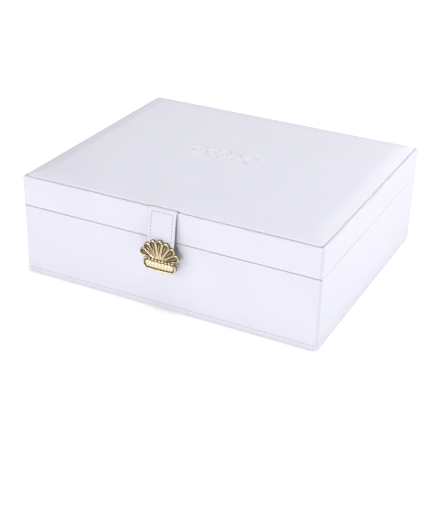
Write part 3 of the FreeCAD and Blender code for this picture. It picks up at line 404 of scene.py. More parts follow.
def rounded_loop(inset, step_front, step_other):
    """Points round the case's outline, moved in by inset; every loop has the same number of points."""
    half_x, half_y = HALF_WIDTH - inset, HALF_DEPTH - inset
    reach_x, reach_y = HALF_WIDTH - CORNER_RADIUS, HALF_DEPTH - CORNER_RADIUS
    radius, corner_steps = max(CORNER_RADIUS - inset, 0.15 * MM), 8
    ratio_x, ratio_y = (half_x - radius) / reach_x, (half_y - radius) / reach_y
    sides = (
        ([(x * ratio_x, -half_y) for x in spaced(-reach_x, reach_x, step_front)], (1, -1), -90.0),
        ([(half_x, y * ratio_y) for y in spaced(-reach_y, reach_y, step_other)], (1, 1), 0.0),
        ([(-x * ratio_x, half_y) for x in spaced(-reach_x, reach_x, step_other)], (-1, 1), 90.0),
        ([(-half_x, -y * ratio_y) for y in spaced(-reach_y, reach_y, step_other)], (-1, -1), 180.0),
    )
    points = []
    for run, (corner_x, corner_y), start in sides:
        points += run
        for step in range(corner_steps):
            angle = math.radians(start + 90.0 * step / corner_steps)
            points.append((corner_x * (half_x - radius) + radius * math.cos(angle),
                           corner_y * (half_y - radius) + radius * math.sin(angle)))
    return np.array(points)


def ripple(x, y, z, seed):
    """A gentle unevenness from -1 to 1, made of a few long waves."""
    phases = np.array([0.3, 1.9, 4.1, 5.2]) + seed
    return (np.sin(x * 41.0 + z * 57.0 + phases[0]) + np.sin(y * 37.0 - z * 71.0 + phases[1])
            + 0.6 * np.sin(x * 93.0 - y * 67.0 + z * 80.0 + phases[2])
            + 0.4 * np.sin(z * 190.0 + x * 23.0 + y * 29.0 + phases[3])) / 3.0


def swept_cover(name, section, wall):
    """A cover made by carrying a section of (inset, height) points round the case's outline."""
    rows = []
    for inset, height in section:
        loop = rounded_loop(inset, 0.75 * MM, 6.0 * MM)
        row = np.column_stack([loop, np.full(len(loop), height)])
        if inset < 0.9 * MM:
            row = push_out(tighten_sides(row), wall(*row.T))
        rows.append(row)
    faces = grid_faces(len(rows), len(rows[0]), close_rows=True, close_columns=True)
    return outward(new_object(name, np.concatenate(rows), faces))


def tighten_sides(row):
    """Makes the closed seam narrower and sharper along the left and right walls."""
    x, _, z = row.T
    side = smoothstep(HALF_WIDTH - 1.3 * MM, HALF_WIDTH - 0.7 * MM, np.abs(x))
    near = side * (1.0 - smoothstep(0.7 * MM, 1.2 * MM, np.abs(z - SEAM_HEIGHT)))
    moved = row.copy()
    moved[:, 0] += np.sign(x) * (HALF_WIDTH - np.abs(x)) * 0.7 * near
    moved[:, 2] += np.sign(SEAM_HEIGHT - z) * 0.1 * MM * near
    return moved


def push_out(row, distance):
    """Moves the points of an outline row away from the middle, each along its own side."""
    moved = row.copy()
    for axis, half in ((0, HALF_WIDTH), (1, HALF_DEPTH)):
        side = smoothstep(half - 3 * MM, half - 0.3 * MM, np.abs(row[:, axis]))
        moved[:, axis] += np.sign(row[:, axis]) * side * distance
    return moved


def case_wall(x, y, z):
    """How far the case's wall stands out: ripples, and a channel in front that is deepest under stitches."""
    front = (y < -HALF_DEPTH + 0.5 * MM) & (np.abs(x) < HEM_HIGH.x + 0.6 * MM)
    line = np.exp(-((z - HEM_HEIGHT) / (0.5 * MM)) ** 2)
    under_stitch = 0.5 + 0.5 * np.cos(2 * math.pi * (x * HEM_STITCHES / (2 * HEM_REACH) - 0.5))
    channel = np.where(front, line * (0.05 * MM + 0.14 * MM * under_stitch ** 2), 0.0)
    swell = ripple(x, y, z, 0.0) * 0.09 * MM * smoothstep(2.0 * MM, 14.0 * MM, z - CASE_LOW.z)
    return swell * smoothstep(0.0, 8.0 * MM, CASE_HIGH.z - z) - channel


def lid_wall(x, y, z):
    """How far the lid's wall stands out: gentle ripples."""
    edge = smoothstep(0.0, 6.0 * MM, z - LID_LOW.z) * smoothstep(0.0, 6.0 * MM, LID_HIGH.z - z)
    return ripple(x, y, z, 2.6) * 0.08 * MM * edge


def section_points(base, *points):
    """Section points given as inset and height above base, both in millimetres."""
    return [(inset * MM, base + height * MM) for inset, height in points]


def make_case_cover():
    """The leatherette of the lower box, with its turned edges and the sewn hem in front."""
    low, top = CASE_LOW.z, CASE_HIGH.z + SEAM_CLOSER
    near_hem = (-1.2, -0.9, -0.65, -0.45, -0.3, -0.15, 0.0, 0.15, 0.3, 0.45, 0.65, 0.9, 1.2, 1.8, 3.5, 6.5)
    wall = [2.2 * MM, 2.8 * MM, 3.4 * MM] + [HEM_HEIGHT + step * MM for step in near_hem]
    wall += list(np.linspace(16.0 * MM, top - 4.0 * MM, 11)) + [top - 2.0 * MM, top - 1.0 * MM]
    section = section_points(low, (12.0, 0.0), (6.0, 0.0), (1.3, 0.0), (0.75, 0.08), (0.3, 0.3), (0.08, 0.6))
    section += [(0.0, height) for height in wall]
    section += section_points(top, (0.03, -0.47), (0.12, -0.27), (0.3, -0.09), (0.6, 0.0), (1.6, 0.0),
                              (6.0, 0.0), (6.0, -1.0), (1.0, -1.0))
    section += section_points(low, (1.0, 1.0), (12.0, 1.0))
    cover = swept_cover("case_leatherette", section, case_wall)
    punch_keeper_hole(cover)
    finish_piece(cover, "case", "leatherette", LEATHERETTE, "case_cover")


def punch_keeper_hole(cover):
    """Opens the front of the cover for the steel keeper."""
    low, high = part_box("magnet_keeper")
    centre, radius = (low + high) / 2, (high.x - low.x) / 2 + 0.08 * MM
    bm = bmesh.new()
    bmesh.ops.create_cone(bm, cap_ends=True, segments=64, radius1=radius, radius2=radius, depth=6 * MM)
    cutter = bmesh_object("keeper_cutter", bm)
    cutter.matrix_world = (Matrix.Translation(Vector((centre.x, -HALF_DEPTH, centre.z)))
                           @ Matrix.Rotation(math.radians(90.0), 4, "X"))
    apply_modifier(cover, "BOOLEAN", object=cutter, operation="DIFFERENCE", solver="EXACT")
    bpy.data.objects.remove(cutter)


def make_lid_cover():
    """The leatherette of the lid: sides, soft upper edge, and the sheet under the padded panel."""
    low, top = LID_LOW.z - SEAM_CLOSER, LID_HIGH.z
    section = section_points(low, (6.0, 0.0), (1.6, 0.0), (0.6, 0.0), (0.3, 0.09), (0.12, 0.27), (0.03, 0.47))
    section += [(0.0, height) for height in np.linspace(low + 1.2 * MM, top - 1.2 * MM, 10)]
    section += section_points(top, (0.05, -0.75), (0.2, -0.42), (0.45, -0.17), (0.85, -0.02), (1.4, 0.0),
                              (3.0, 0.0), (30.0, 0.0), (30.0, -1.0), (1.0, -1.0))
    section += section_points(low, (1.0, 1.0), (6.0, 1.0))
    cover = swept_cover("lid_leatherette", section, lid_wall)
    finish_piece(cover, "lid", "leatherette", LEATHERETTE, "lid_cover")


# ---- Padded top panel ----

ORNAMENT_X, ORNAMENT_Y = -6.5 * MM, 4.0 * MM
ORNAMENT_REACH_X, ORNAMENT_REACH_Y = 36 * MM, 13 * MM
PAD_HALF_X, PAD_HALF_Y = PAD_HIGH.x, PAD_HIGH.y


def spiral(centre, outer, inner, start, turns):
    """Points of a spiral from its outer to its inner end."""
    count = 90
    angles = np.radians(start) + np.linspace(0.0, 2 * math.pi * turns, count)
    radii = np.linspace(outer, inner, count)
    return np.column_stack([centre[0] + radii * np.cos(angles), centre[1] + radii * np.sin(angles)])


def bow(*corners):
    """Points of a smooth curve from the first of four corners to the last."""
    share = np.linspace(0.0, 1.0, 60)[:, None]
    weights = ((1 - share) ** 3, 3 * (1 - share) ** 2 * share, 3 * (1 - share) * share ** 2, share ** 3)
    return sum(weight * np.array(corner) for weight, corner in zip(weights, corners))


def scroll_points():
    """Points along a symmetric scroll ornament with a small lozenge in its middle."""
    half = np.concatenate([
        spiral((24.0, 0.6), 5.6, 0.9, 100.0, -1.35),
        spiral((9.6, -0.8), 3.8, 0.7, -80.0, -1.3),
        bow((10.2, -4.6), (16.0, -5.4), (16.0, 5.4), (23.0, 6.1)),
        bow((14.6, 1.6), (13.0, 4.6), (11.0, 6.4), (7.4, 7.2)),
        bow((17.4, -1.8), (18.6, -4.8), (21.0, -6.8), (24.6, -7.4)),
        bow((5.2, 4.0), (3.6, 5.4), (2.2, 7.0), (0.0, 8.6)),
        bow((5.0, -4.4), (3.4, -5.6), (2.0, -7.0), (0.0, -8.2)),
        bow((0.0, 3.6), (0.9, 2.2), (1.9, 0.9), (2.9, 0.0)),
        bow((2.9, 0.0), (1.9, -0.9), (0.9, -2.2), (0.0, -3.6)),
    ])
    return np.concatenate([half, half * (-1.0, 1.0)]) * MM


def pressed_ornament(x, y):
    """Depth of the ornament pressed into the padded panel at the points x, y."""
    depth = np.zeros_like(x)
    near = (np.abs(x - ORNAMENT_X) < ORNAMENT_REACH_X) & (np.abs(y - ORNAMENT_Y) < ORNAMENT_REACH_Y)
    points = scroll_points() * 1.12 + (ORNAMENT_X, ORNAMENT_Y)
    distance = np.full(np.count_nonzero(near), 1.0)
    for start in range(0, len(points), 100):
        part = points[start:start + 100]
        gaps = np.hypot(x[near][:, None] - part[:, 0], y[near][:, None] - part[:, 1])
        distance = np.minimum(distance, gaps.min(axis=1))
    groove = 0.5 * MM * (1.0 - smoothstep(0.3 * MM, 1.05 * MM, distance))
    depth[near] = groove - 0.07 * MM * np.exp(-((distance - 1.4 * MM) / (0.45 * MM)) ** 2)
    return depth


def axis_lines(half, middle, reach):
    """Grid positions: fine at the rounded ends and over the ornament, coarse elsewhere."""
    fine, coarse = 0.45 * MM, 4.0 * MM
    end = (0.0, 0.12, 0.3, 0.6, 0.9, 1.2, 2.0, 4.0, 6.0, 8.0, 9.5, 11.0, 12.5, 14.0, 15.5, 17.0, 19.0)
    edge = [value * MM for value in end]
    inner = half - edge[-1]
    lines = [-half + value for value in edge]
    lines += spaced(-inner, middle - reach, coarse)[1:]
    lines += spaced(middle - reach, middle + reach, fine)
    lines += spaced(middle + reach, inner, coarse)
    lines += [half - value for value in reversed(edge)]
    return np.array(lines)


def swollen_sheet():
    """A panel-sized cloth pinned round its border and blown up: grid positions and heights from 0 to 1."""
    columns, rows = 47, 39
    xs, ys = np.linspace(-PAD_HALF_X, PAD_HALF_X, columns), np.linspace(-PAD_HALF_Y, PAD_HALF_Y, rows)
    grid_x, grid_y = np.meshgrid(xs, ys)
    vertices = np.column_stack([grid_x.ravel(), grid_y.ravel(), np.zeros(grid_x.size)])
    cloth = new_object("panel_cloth", vertices, grid_faces(rows, columns))
    border = [number for number in range(rows * columns)
              if number // columns in (0, rows - 1) or number % columns in (0, columns - 1)]
    cloth.vertex_groups.new(name="pinned").add(border, 1.0, "REPLACE")
    points = blow_up(cloth, quality=6, mass=0.3, tension_stiffness=25.0, compression_stiffness=25.0,
                     bending_stiffness=1.5, vertex_group_mass="pinned")
    bpy.data.objects.remove(cloth)
    heights = np.abs(points[:, 2]).reshape(rows, columns)
    return xs, ys, heights / max(heights.max(), 1e-6)


def sample_field(field, x, y):
    """A height field read between its grid points."""
    xs, ys, heights = field
    column = np.clip((x - xs[0]) / (xs[1] - xs[0]), 0, len(xs) - 1.001)
    row = np.clip((y - ys[0]) / (ys[1] - ys[0]), 0, len(ys) - 1.001)
    c, r = column.astype(int), row.astype(int)
    u, v = column - c, row - r
    return ((1 - u) * (1 - v) * heights[r, c] + u * (1 - v) * heights[r, c + 1]
            + (1 - u) * v * heights[r + 1, c] + u * v * heights[r + 1, c + 1])


def round_plan(x, y, radius):
    """Bends the corner cells of the panel's square grid into quarter circles."""
    corner_x, corner_y = PAD_HALF_X - radius, PAD_HALF_Y - radius
    a = (np.abs(x) - corner_x) / radius
    b = (np.abs(y) - corner_y) / radius
    both = (a > 0) & (b > 0)
    new_x = np.where(both, corner_x + radius * a * np.sqrt(np.clip(1 - b * b / 2, 0, 1)), np.abs(x))
    new_y = np.where(both, corner_y + radius * b * np.sqrt(np.clip(1 - a * a / 2, 0, 1)), np.abs(y))
    return np.sign(x) * new_x, np.sign(y) * new_y


def panel_height(x, y):
    """Height of the padded panel's upper side: rolled edge, mitred sloping border, full middle."""
    slope, roll, foot = 15.5 * MM, 1.1 * MM, 0.4 * MM
    short_x = np.clip(slope - (PAD_HALF_X - np.abs(x)), 0, None)
    short_y = np.clip(slope - (PAD_HALF_Y - np.abs(y)), 0, None)
    inward = np.clip(slope - (short_x ** 9 + short_y ** 9) ** (1 / 9), 0, slope)
    edge = np.sqrt(np.clip(1 - (1 - np.clip(inward / roll, 0, 1)) ** 2, 0, 1))
    rise = 1.0 - (1.0 - inward / slope) ** 1.45
    full = PAD_HIGH.z - PAD_LOW.z
    height = PAD_LOW.z + foot + 0.85 * MM * edge + (full - foot - 1.4 * MM) * rise
    height += 0.42 * MM * sample_field(swollen_sheet(), x, y) * smoothstep(0.0, 14.0 * MM, inward)
    height += 0.05 * MM * ripple(x, y, x * 0.4, 1.3) * smoothstep(9.0 * MM, 22.0 * MM, inward)
    over_strap = 1.0 - smoothstep(12.0 * MM, 19.0 * MM, np.abs(x))
    return height + 0.55 * MM * over_strap * (1.0 - smoothstep(0.0, 16.0 * MM, y + PAD_HALF_Y))


def make_lid_pad():
    """The padded panel on the lid, with the ornament pressed into it."""
    xs = axis_lines(PAD_HALF_X, ORNAMENT_X, ORNAMENT_REACH_X)
    ys = axis_lines(PAD_HALF_Y, ORNAMENT_Y, ORNAMENT_REACH_Y)
    grid_x, grid_y = np.meshgrid(xs, ys)
    x, y = round_plan(grid_x.ravel(), grid_y.ravel(), 1.2 * MM)
    top = np.column_stack([x, y, panel_height(x, y) - pressed_ornament(x, y)])
    columns, rows = len(xs), len(ys)
    faces = grid_faces(rows, columns)
    grid = np.arange(rows * columns).reshape(rows, columns)
    border = np.concatenate([grid[0], grid[1:, -1], grid[-1, -2::-1], grid[-2:0:-1, 0]]).tolist()
    rim = top[border]
    blocks, previous, count = [top], border, len(border)
    sideways = np.abs(rim[:, 0])
    over_strap = 0.85 * MM * (1.0 - smoothstep(12.6 * MM, 14.6 * MM, sideways)) * (rim[:, 1] < 0)
    loose = 0.5 + 0.5 * smoothstep(PAD_HALF_X - 1.5 * MM, PAD_HALF_X - 0.5 * MM, sideways)
    for inset, height in ((0.05, 0.62), (0.2, 0.48), (0.5, 0.36), (0.8, 0.3), (1.5, 0.05), (1.8, 0.02)):
        ring = rim * (1 - inset * MM / PAD_HALF_X, 1 - inset * MM / PAD_HALF_Y, 0.0)
        ring[:, 2] = PAD_LOW.z + height * MM * loose + over_strap
        start = len(top) + count * (len(blocks) - 1)
        blocks.append(ring)
        current = list(range(start, start + count))
        faces += zip(previous, current, current[1:] + current[:1], previous[1:] + previous[:1])
        previous = current
    faces.append(tuple(previous))
    panel = outward(new_object("lid_panel", np.concatenate(blocks), faces))
    finish_piece(panel, "lid", "leatherette", PANEL_LEATHER, "lid_pad")


# ---- Strap ----

# Centre line of the strap seen from its side: y and z of the line, and the strap's thickness, in
# millimetres, from its end under the panel to its lower end.
FOLD_Y, FOLD_Z = STRAP_HIGH.y / MM, LID_HIGH.z / MM
STRAP_FACE_Y = STRAP_LOW.y / MM + 1.3
STRAP_LINE = [(FOLD_Y + y, FOLD_Z + z, thickness) for y, z, thickness in (
    (15.8, 0.46, 0.84), (8.0, 0.46, 0.84), (3.0, 0.44, 0.8), (1.2, 0.43, 0.8), (0.1, 0.36, 0.95),
    (-0.6, -0.1, 1.15), (-0.85, -0.9, 1.35), (-1.05, -2.0, 1.65), (-1.35, -4.0, 2.0), (-1.6, -6.5, 2.4),
    (-2.65, -15.0, 2.6), (-3.9, -24.0, 2.6))]
STRAP_LINE += [
    (STRAP_FACE_Y + 0.2, FOLD_Z - 29.5, 2.6), (STRAP_FACE_Y + 0.08, FOLD_Z - 34.0, 2.6),
    (STRAP_FACE_Y + 0.08, FOLD_Z - 42.0, 2.6), (STRAP_FACE_Y + 0.08, STRAP_LOW.z / MM + 0.05, 2.6)]
STRAP_HALF_WIDTH = STRAP_HIGH.x
SEAM_INSET = 2.6 * MM
STRAP_SEAM = STRAP_HALF_WIDTH - SEAM_INSET


def smooth_line(points, step):
    """A curve through the points, sampled about every step; any further columns go along."""
    points = np.array(points, float)
    padded = np.vstack([2 * points[0] - points[1], points, 2 * points[-1] - points[-2]])
    samples = []
    for number in range(1, len(padded) - 2):
        p0, p1, p2, p3 = padded[number - 1:number + 3]
        count = max(2, int(np.linalg.norm((p2 - p1)[:2]) / step))
        for share in np.arange(count) / count:
            samples.append(0.5 * (2 * p1 + (p2 - p0) * share + (2 * p0 - 5 * p1 + 4 * p2 - p3) * share ** 2
                                  + (3 * p1 - p0 - 3 * p2 + p3) * share ** 3))
    samples.append(points[-1])
    return np.array(samples)


def strap_frames():
    """Points, thicknesses, outward normals and distances from the lower end along the strap."""
    line = smooth_line(STRAP_LINE, 0.7) * MM
    tangents = np.gradient(line[:, :2], axis=0)
    tangents /= np.linalg.norm(tangents, axis=1)[:, None]
    normals = np.column_stack([tangents[:, 1], -tangents[:, 0]])
    steps = np.linalg.norm(np.diff(line[:, :2], axis=0), axis=1)
    left = np.concatenate([np.cumsum(steps[::-1])[::-1], [0.0]])
    return line[:, :2], line[:, 2], normals, left


def strap_section(half_width, thickness, sewn):
    """(across, outward) points of the white front layer, and of the slightly narrower back part, which is
    near-black as painted shade.
    """
    half = thickness / 2
    layer = min(1.1 * MM, 0.62 * thickness)
    radius, inset = layer * 0.45, 0.12 * MM
    seam = half_width - SEAM_INSET
    front = [(half_width, half - layer)]
    for step in range(5):
        turn = math.radians(90.0 * step / 4)
        front.append((half_width + radius * (math.cos(turn) - 1), half + radius * (math.sin(turn) - 1)))
    for x in [seam + offset * MM for offset in (0.75, 0.4, 0.15, -0.15, -0.4, -0.75)] + [5.5 * MM, 2.0 * MM]:
        dip = 0.06 * MM * sewn * math.exp(-((x - seam) / (0.42 * MM)) ** 2)
        puff = 0.1 * MM * sewn * (1 - (x / half_width) ** 2)
        front.append((x, half - dip + puff))
    front += [(-x, outwards) for x, outwards in reversed(front)]
    shaded_back = [(half_width - inset, half - layer), (half_width - inset, 0.3 * MM - half),
              (half_width - inset - 0.3 * MM, -half)]
    return front, [(-x, outwards) for x, outwards in shaded_back] + shaded_back[::-1]


def make_strap():
    """The whole strap, from its end under the panel over the fold to behind the clasp."""
    end_radius = 5.0 * MM
    vertices = []
    for (y, z), thickness, (normal_y, normal_z), remaining in zip(*strap_frames()):
        short = max(end_radius - remaining, 0.0)
        half_width = STRAP_HALF_WIDTH - (end_radius - math.sqrt(max(end_radius ** 2 - short ** 2, 0.0)))
        hangs = y < -HALF_DEPTH - 0.4 * MM
        sewn = float(smoothstep(1.0 * MM, 4.0 * MM, LID_HIGH.z - z)) if hangs else 0.0
        front, shaded_back = strap_section(half_width, thickness, sewn)
        vertices += [(across, y + normal_y * outwards, z + normal_z * outwards)
                     for across, outwards in front + shaded_back]
    columns = len(front + shaded_back)
    rows = len(vertices) // columns
    strap = outward(new_object("strap_leather", vertices, tube_faces(rows, columns)))
    strap.data.materials.append(STRAP_LEATHER)
    strap.data.materials.append(STRAP_GAP_SHADE)
    # The faces of the back part get the near-black painted shade.
    for face in strap.data.polygons:
        if face.index < (rows - 1) * columns and face.index % columns >= len(front) - 1:
            face.material_index = 1
    sharpen(strap, 50.0)
    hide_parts("strap", "strap_root")
    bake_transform(strap)


# ---- Stitches ----


def rod(start, end, radius, sides):
    """Vertices of a rod with round ends, ring by ring."""
    start, end = np.array(start, float), np.array(end, float)
    along = end - start
    length = np.linalg.norm(along)
    along /= length
    side = np.cross(along, (0.0, 0.0, 1.0) if abs(along[2]) < 0.9 else (1.0, 0.0, 0.0))
    side /= np.linalg.norm(side)
    other = np.cross(along, side)
    angles = np.linspace(0.12, math.pi / 2, 4)
    stations = [(-math.cos(a) * radius, math.sin(a) * radius) for a in angles]
    stations += [(length / 2, radius * 1.06)]
    stations += [(length + math.cos(a) * radius, math.sin(a) * radius) for a in reversed(angles)]
    vertices = []
    for distance, reach in stations:
        for number in range(sides):
            angle = 2 * math.pi * number / sides
            around = math.cos(angle) * side + math.sin(angle) * other
            vertices.append(start + along * distance + reach * around)
    return vertices


def thread_object(name, spans):
    """One object of many stitches, each from a start to an end point."""
    radius, sides = 0.33 * MM, 10
    vertices, faces = [], []
    for start, end in spans:
        more = rod(start, end, radius, sides)
        for face in tube_faces(len(more) // sides, sides):
            faces.append([number + len(vertices) for number in face])
        vertices += more
    return outward(new_object(name, vertices, faces))


def make_hem_stitching():
    """The sewing along the front, with each stitch turned slightly out of line."""
    half, tilt, y = 0.8 * MM, 0.14 * MM, -HALF_DEPTH + 0.12 * MM
    spans = []
    for number in range(HEM_STITCHES):
        x = HEM_REACH * (2 * (number + 0.5) / HEM_STITCHES - 1)
        spans.append(((x - half, y, HEM_HEIGHT - tilt), (x + half, y, HEM_HEIGHT + tilt)))
    finish_piece(thread_object("hem_thread", spans), "case", "thread", HEM_THREAD, "hem_stitching")


def make_strap_stitching():
    """The sewing down both sides of the strap and across its upper end."""
    line, thickness, normals, _ = strap_frames()
    hanging = (line[:, 0] < -HALF_DEPTH - 0.6 * MM) & (line[:, 1] < LID_HIGH.z - 1.0 * MM)
    table = np.column_stack([line, thickness, normals])[hanging]
    ys, heights, thicknesses, normals_y, normals_z = table[np.argsort(table[:, 1])].T

    def on_strap(x, z):
        """A point on the strap's front at height z."""
        y, thick, normal_y, normal_z = (np.interp(z, heights, column)
                                        for column in (ys, thicknesses, normals_y, normals_z))
        out = thick / 2 + 0.02 * MM
        return np.array((x, y + normal_y * out, z + normal_z * out))

    low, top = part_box("strap_stitching")
    length, tilt = 1.2 * MM, 0.1 * MM
    spans = []
    for side in (-1, 1):
        inner, outer = side * (STRAP_SEAM - tilt), side * (STRAP_SEAM + tilt)
        for z in np.arange(top.z - 1.2 * MM, low.z, -STITCH_PITCH):
            spans.append((on_strap(inner, z), on_strap(outer, z - length)))
    count = round(2 * STRAP_SEAM / STITCH_PITCH)
    for number in range(count):
        x, z = STRAP_SEAM * (2 * (number + 0.5) / count - 1), top.z - 0.25 * MM
        spans.append((on_strap(x - length / 2, z - tilt), on_strap(x + length / 2, z + tilt)))
    finish_piece(thread_object("strap_thread", spans), "strap", "thread", STRAP_THREAD_SHADED, "strap_stitching")


# ---- Clasp ----

FAN_POINT_Z = PLATE_LOW.z + 8.9 * MM
FAN_REACH = 16.5 * MM
TIP_RADIUS = 3.4 * MM
FLUTE_STEP = math.radians(22.0)
FLUTES = 7
BAND_RADIUS = 5.2 * MM
BAND_HALF = 16.0 * MM
PEARL_RADIUS = 1.42 * MM
PEARL_PITCH = 3.15 * MM
PEARLS = 9


def dome(distance, reach):
    """Height from 0 to 1 of a round ridge at that distance from its middle line."""
    return np.sqrt(np.clip(1.0 - (distance / reach) ** 2, 0.0, 1.0))


def flute_coordinates(x, z):
    """Distance across and along the nearest flute of the fan."""
    dx, dz = x, z - FAN_POINT_Z
    angle, reach = np.arctan2(dx, dz), np.hypot(dx, dz)
    number = np.clip(np.round(angle / FLUTE_STEP), -(FLUTES // 2), FLUTES // 2)
    turn = angle - number * FLUTE_STEP
    return reach * np.sin(turn), reach * np.cos(turn)


def flute_edge(across, along):
    """Distance inside a flute's outline, negative outside."""
    side = (along * TIP_RADIUS / FAN_REACH - np.abs(across)) * 0.98
    tip = TIP_RADIUS - np.hypot(across, along - FAN_REACH)
    return np.where(along > FAN_REACH, tip, side)


def sag(x):
    """How far the band and the pearls curve up beside the middle."""
    return 0.9 * MM * (x / BAND_HALF) ** 2


def band_edge(x, z):
    """Distance inside the outline of the band under the fan, negative outside."""
    beyond = np.maximum(np.abs(x) - (BAND_HALF - BAND_RADIUS), 0.0)
    return BAND_RADIUS - np.hypot(beyond, z - (PLATE_LOW.z + BAND_RADIUS + sag(x)))


def pearl_row(x):
    """Height of the row of pearls between band and fan."""
    return PLATE_LOW.z + 9.9 * MM + sag(x)


def pearl_gap(x, z):
    """Distance from the middle of the nearest pearl."""
    number = np.clip(np.round(x / PEARL_PITCH), -(PEARLS // 2), PEARLS // 2)
    return np.hypot(x - number * PEARL_PITCH, z - pearl_row(x))


def clasp_edge(x, z):
    """Distance inside the whole plate's outline, negative outside."""
    across, along = flute_coordinates(x, z)
    fan = np.where(along > 0, flute_edge(across, along), -1.0)
    return np.maximum(np.maximum(fan, band_edge(x, z)), PEARL_RADIUS - pearl_gap(x, z))


def clasp_relief(x, z):
    """Height of the plate's front above its back: rimmed flutes with a rib, pearls, a rimmed band."""
    base, full = 0.8 * MM, PLATE_HIGH.y - PLATE_LOW.y
    across, along = flute_coordinates(x, z)
    inside = flute_edge(across, along)
    rim = 1.6 * MM * dome(inside - 0.62 * MM, 0.62 * MM) * (along > 0)
    rib_start, rib_end = 6.5 * MM, 15.8 * MM
    width = (0.2 + 0.45 * np.clip((along - rib_start) / (10.0 * MM), 0.0, 1.0)) * MM
    past = np.maximum(along - rib_end, 0.0)
    rib = 1.3 * MM * dome(np.hypot(across, past), width) * (along > rib_start)
    fan = np.maximum(rim, rib) * (inside > 0)
    inner = band_edge(x, z)
    band_rim = 1.25 * MM * dome(inner - 0.85 * MM, 0.85 * MM)
    gadroons = 0.84 + 0.16 * np.cos(2 * math.pi * x / (2.9 * MM))
    boss = 1.6 * MM * gadroons * dome(BAND_RADIUS - inner, BAND_RADIUS - 1.9 * MM)
    band = np.maximum(band_rim, boss) * (inner > 0)
    pearl = 1.8 * MM * dome(pearl_gap(x, z), PEARL_RADIUS)
    beside = np.maximum(fan * (inner < 0.3 * MM), band)
    above = np.abs(z - pearl_row(x))
    beside = beside * smoothstep(PEARL_RADIUS - 0.1 * MM, PEARL_RADIUS + 0.35 * MM, above)
    relief = np.where(pearl_gap(x, z) < PEARL_RADIUS, pearl, beside)
    return np.minimum(base + relief, full)


def make_clasp():
    """The cast plate: a fan of seven rimmed flutes over a row of pearls and a rimmed band."""
    step, nudge = 0.13 * MM, 0.02 * MM
    half = PLATE_HIGH.x + 2 * step
    xs = np.arange(-half, half + step, step)
    zs = np.arange(PLATE_LOW.z - 2 * step, PLATE_HIGH.z + 2 * step, step)
    grid_x, grid_z = np.meshgrid(xs, zs)
    x, z = grid_x.ravel(), grid_z.ravel()
    edge = clasp_edge(x, z)
    for _ in range(3):
        outside = (edge < 0) & (edge > -2.5 * step)
        slope_x = (clasp_edge(x + nudge, z) - clasp_edge(x - nudge, z)) / (2 * nudge)
        slope_z = (clasp_edge(x, z + nudge) - clasp_edge(x, z - nudge)) / (2 * nudge)
        x[outside] -= edge[outside] * slope_x[outside]
        z[outside] -= edge[outside] * slope_z[outside]
        edge = np.where(outside, clasp_edge(x, z), edge)
    inside = edge > -0.25 * step
    height = clasp_relief(x, z)
    faces = [face for face in grid_faces(len(zs), len(xs)) if all(inside[number] for number in face)]
    bm = bmesh.new()
    used = sorted({number for face in faces for number in face})
    front = {number: bm.verts.new((x[number], PLATE_HIGH.y - height[number], z[number])) for number in used}
    for face in faces:
        bm.faces.new([front[number] for number in face])
    rim = [item for item in bm.edges if item.is_boundary]
    walls = bmesh.ops.extrude_edge_only(bm, edges=rim)["geom"]
    for vertex in (item for item in walls if isinstance(item, bmesh.types.BMVert)):
        vertex.co.y = PLATE_HIGH.y - 0.02 * MM
    bmesh.ops.holes_fill(bm, edges=[item for item in bm.edges if item.is_boundary], sides=0)
    bmesh.ops.recalc_face_normals(bm, faces=bm.faces)
    clasp = bmesh_object("clasp_cast", bm)
    sharpen(clasp, 60.0)
    finish_piece(clasp, "strap", "gold", CAST_GOLD, "clasp_plate")


# ---- Velvet-covered pieces ----


def soft_edges(node, body, radius):
    """A velvet copy of a CAD node with rolled edges, as board covered in fabric has."""
    bm = bmesh.new()
    bm.from_mesh(frame["nodes"][node].data)
    bmesh.ops.remove_doubles(bm, verts=bm.verts, dist=0.01 * MM)
    bmesh.ops.dissolve_limit(bm, angle_limit=math.radians(1.0), verts=bm.verts, edges=bm.edges)
    sharp = [edge for edge in bm.edges if len(edge.link_faces) == 2
             and edge.calc_face_angle(0.0) > math.radians(30.0)]
    bmesh.ops.bevel(bm, geom=sharp, offset=radius, offset_type="OFFSET", segments=3, profile=0.5,
                    affect="EDGES", clamp_overlap=True)
    piece = bmesh_object(f"{node}_velvet", bm)
    sharpen(piece, 50.0)
    piece.modifiers.new("normals", "WEIGHTED_NORMAL").keep_sharp = True
    finish_piece(piece, body, "velvet", VELVET, node)


def make_velvet_pieces():
    """Liners, dividers, runners, drawers and the mirror's frame: all velvet nodes but the ring rolls."""
    record = frame["record"]
    velvet = {part["node"] for part in record["subparts"] if part["material_slot"] == "velvet"}
    radii = {"left_drawer_box": 0.9, "right_drawer_box": 0.9, "floor_lining": 0.2, "mirror_frame": 0.4}
    for body, nodes in record["behaviour"]["bodies"].items():
        for node in nodes:
            if node in velvet and node != "ring_rolls":
                soft_edges(node, body, radii.get(node, 0.55) * MM)


def roll_profile(radius, height):
    """Outline of a ring roll's end: flat foot, upright sides and a round top."""
    foot = [(radius, 1.2 * MM), (radius * 0.96, 0.0)]
    top = [(radius * math.cos(angle), height - radius + radius * math.sin(angle))
           for angle in np.linspace(math.pi, 0.0, 15)]
    return [(-y, z) for y, z in reversed(foot)] + top + foot


def inflate(piece):
    """Blows a closed mesh up as cloth, and lets no point move further than the cap."""
    cap = 0.5 * MM
    apply_modifier(piece, "REMESH", mode="VOXEL", voxel_size=2.2 * MM, use_smooth_shade=True)
    before = np.empty(len(piece.data.vertices) * 3)
    piece.data.vertices.foreach_get("co", before)
    before = before.reshape(-1, 3)
    moved = blow_up(piece, quality=5, mass=0.2, tension_stiffness=15.0, bending_stiffness=0.5) - before
    length = np.linalg.norm(moved, axis=1)[:, None]
    moved *= np.minimum(1.0, cap / np.maximum(length, 1e-9))
    piece.data.vertices.foreach_set("co", (before + moved).ravel())
    piece.data.update()
    apply_modifier(piece, "SUBSURF", levels=1, render_levels=1)


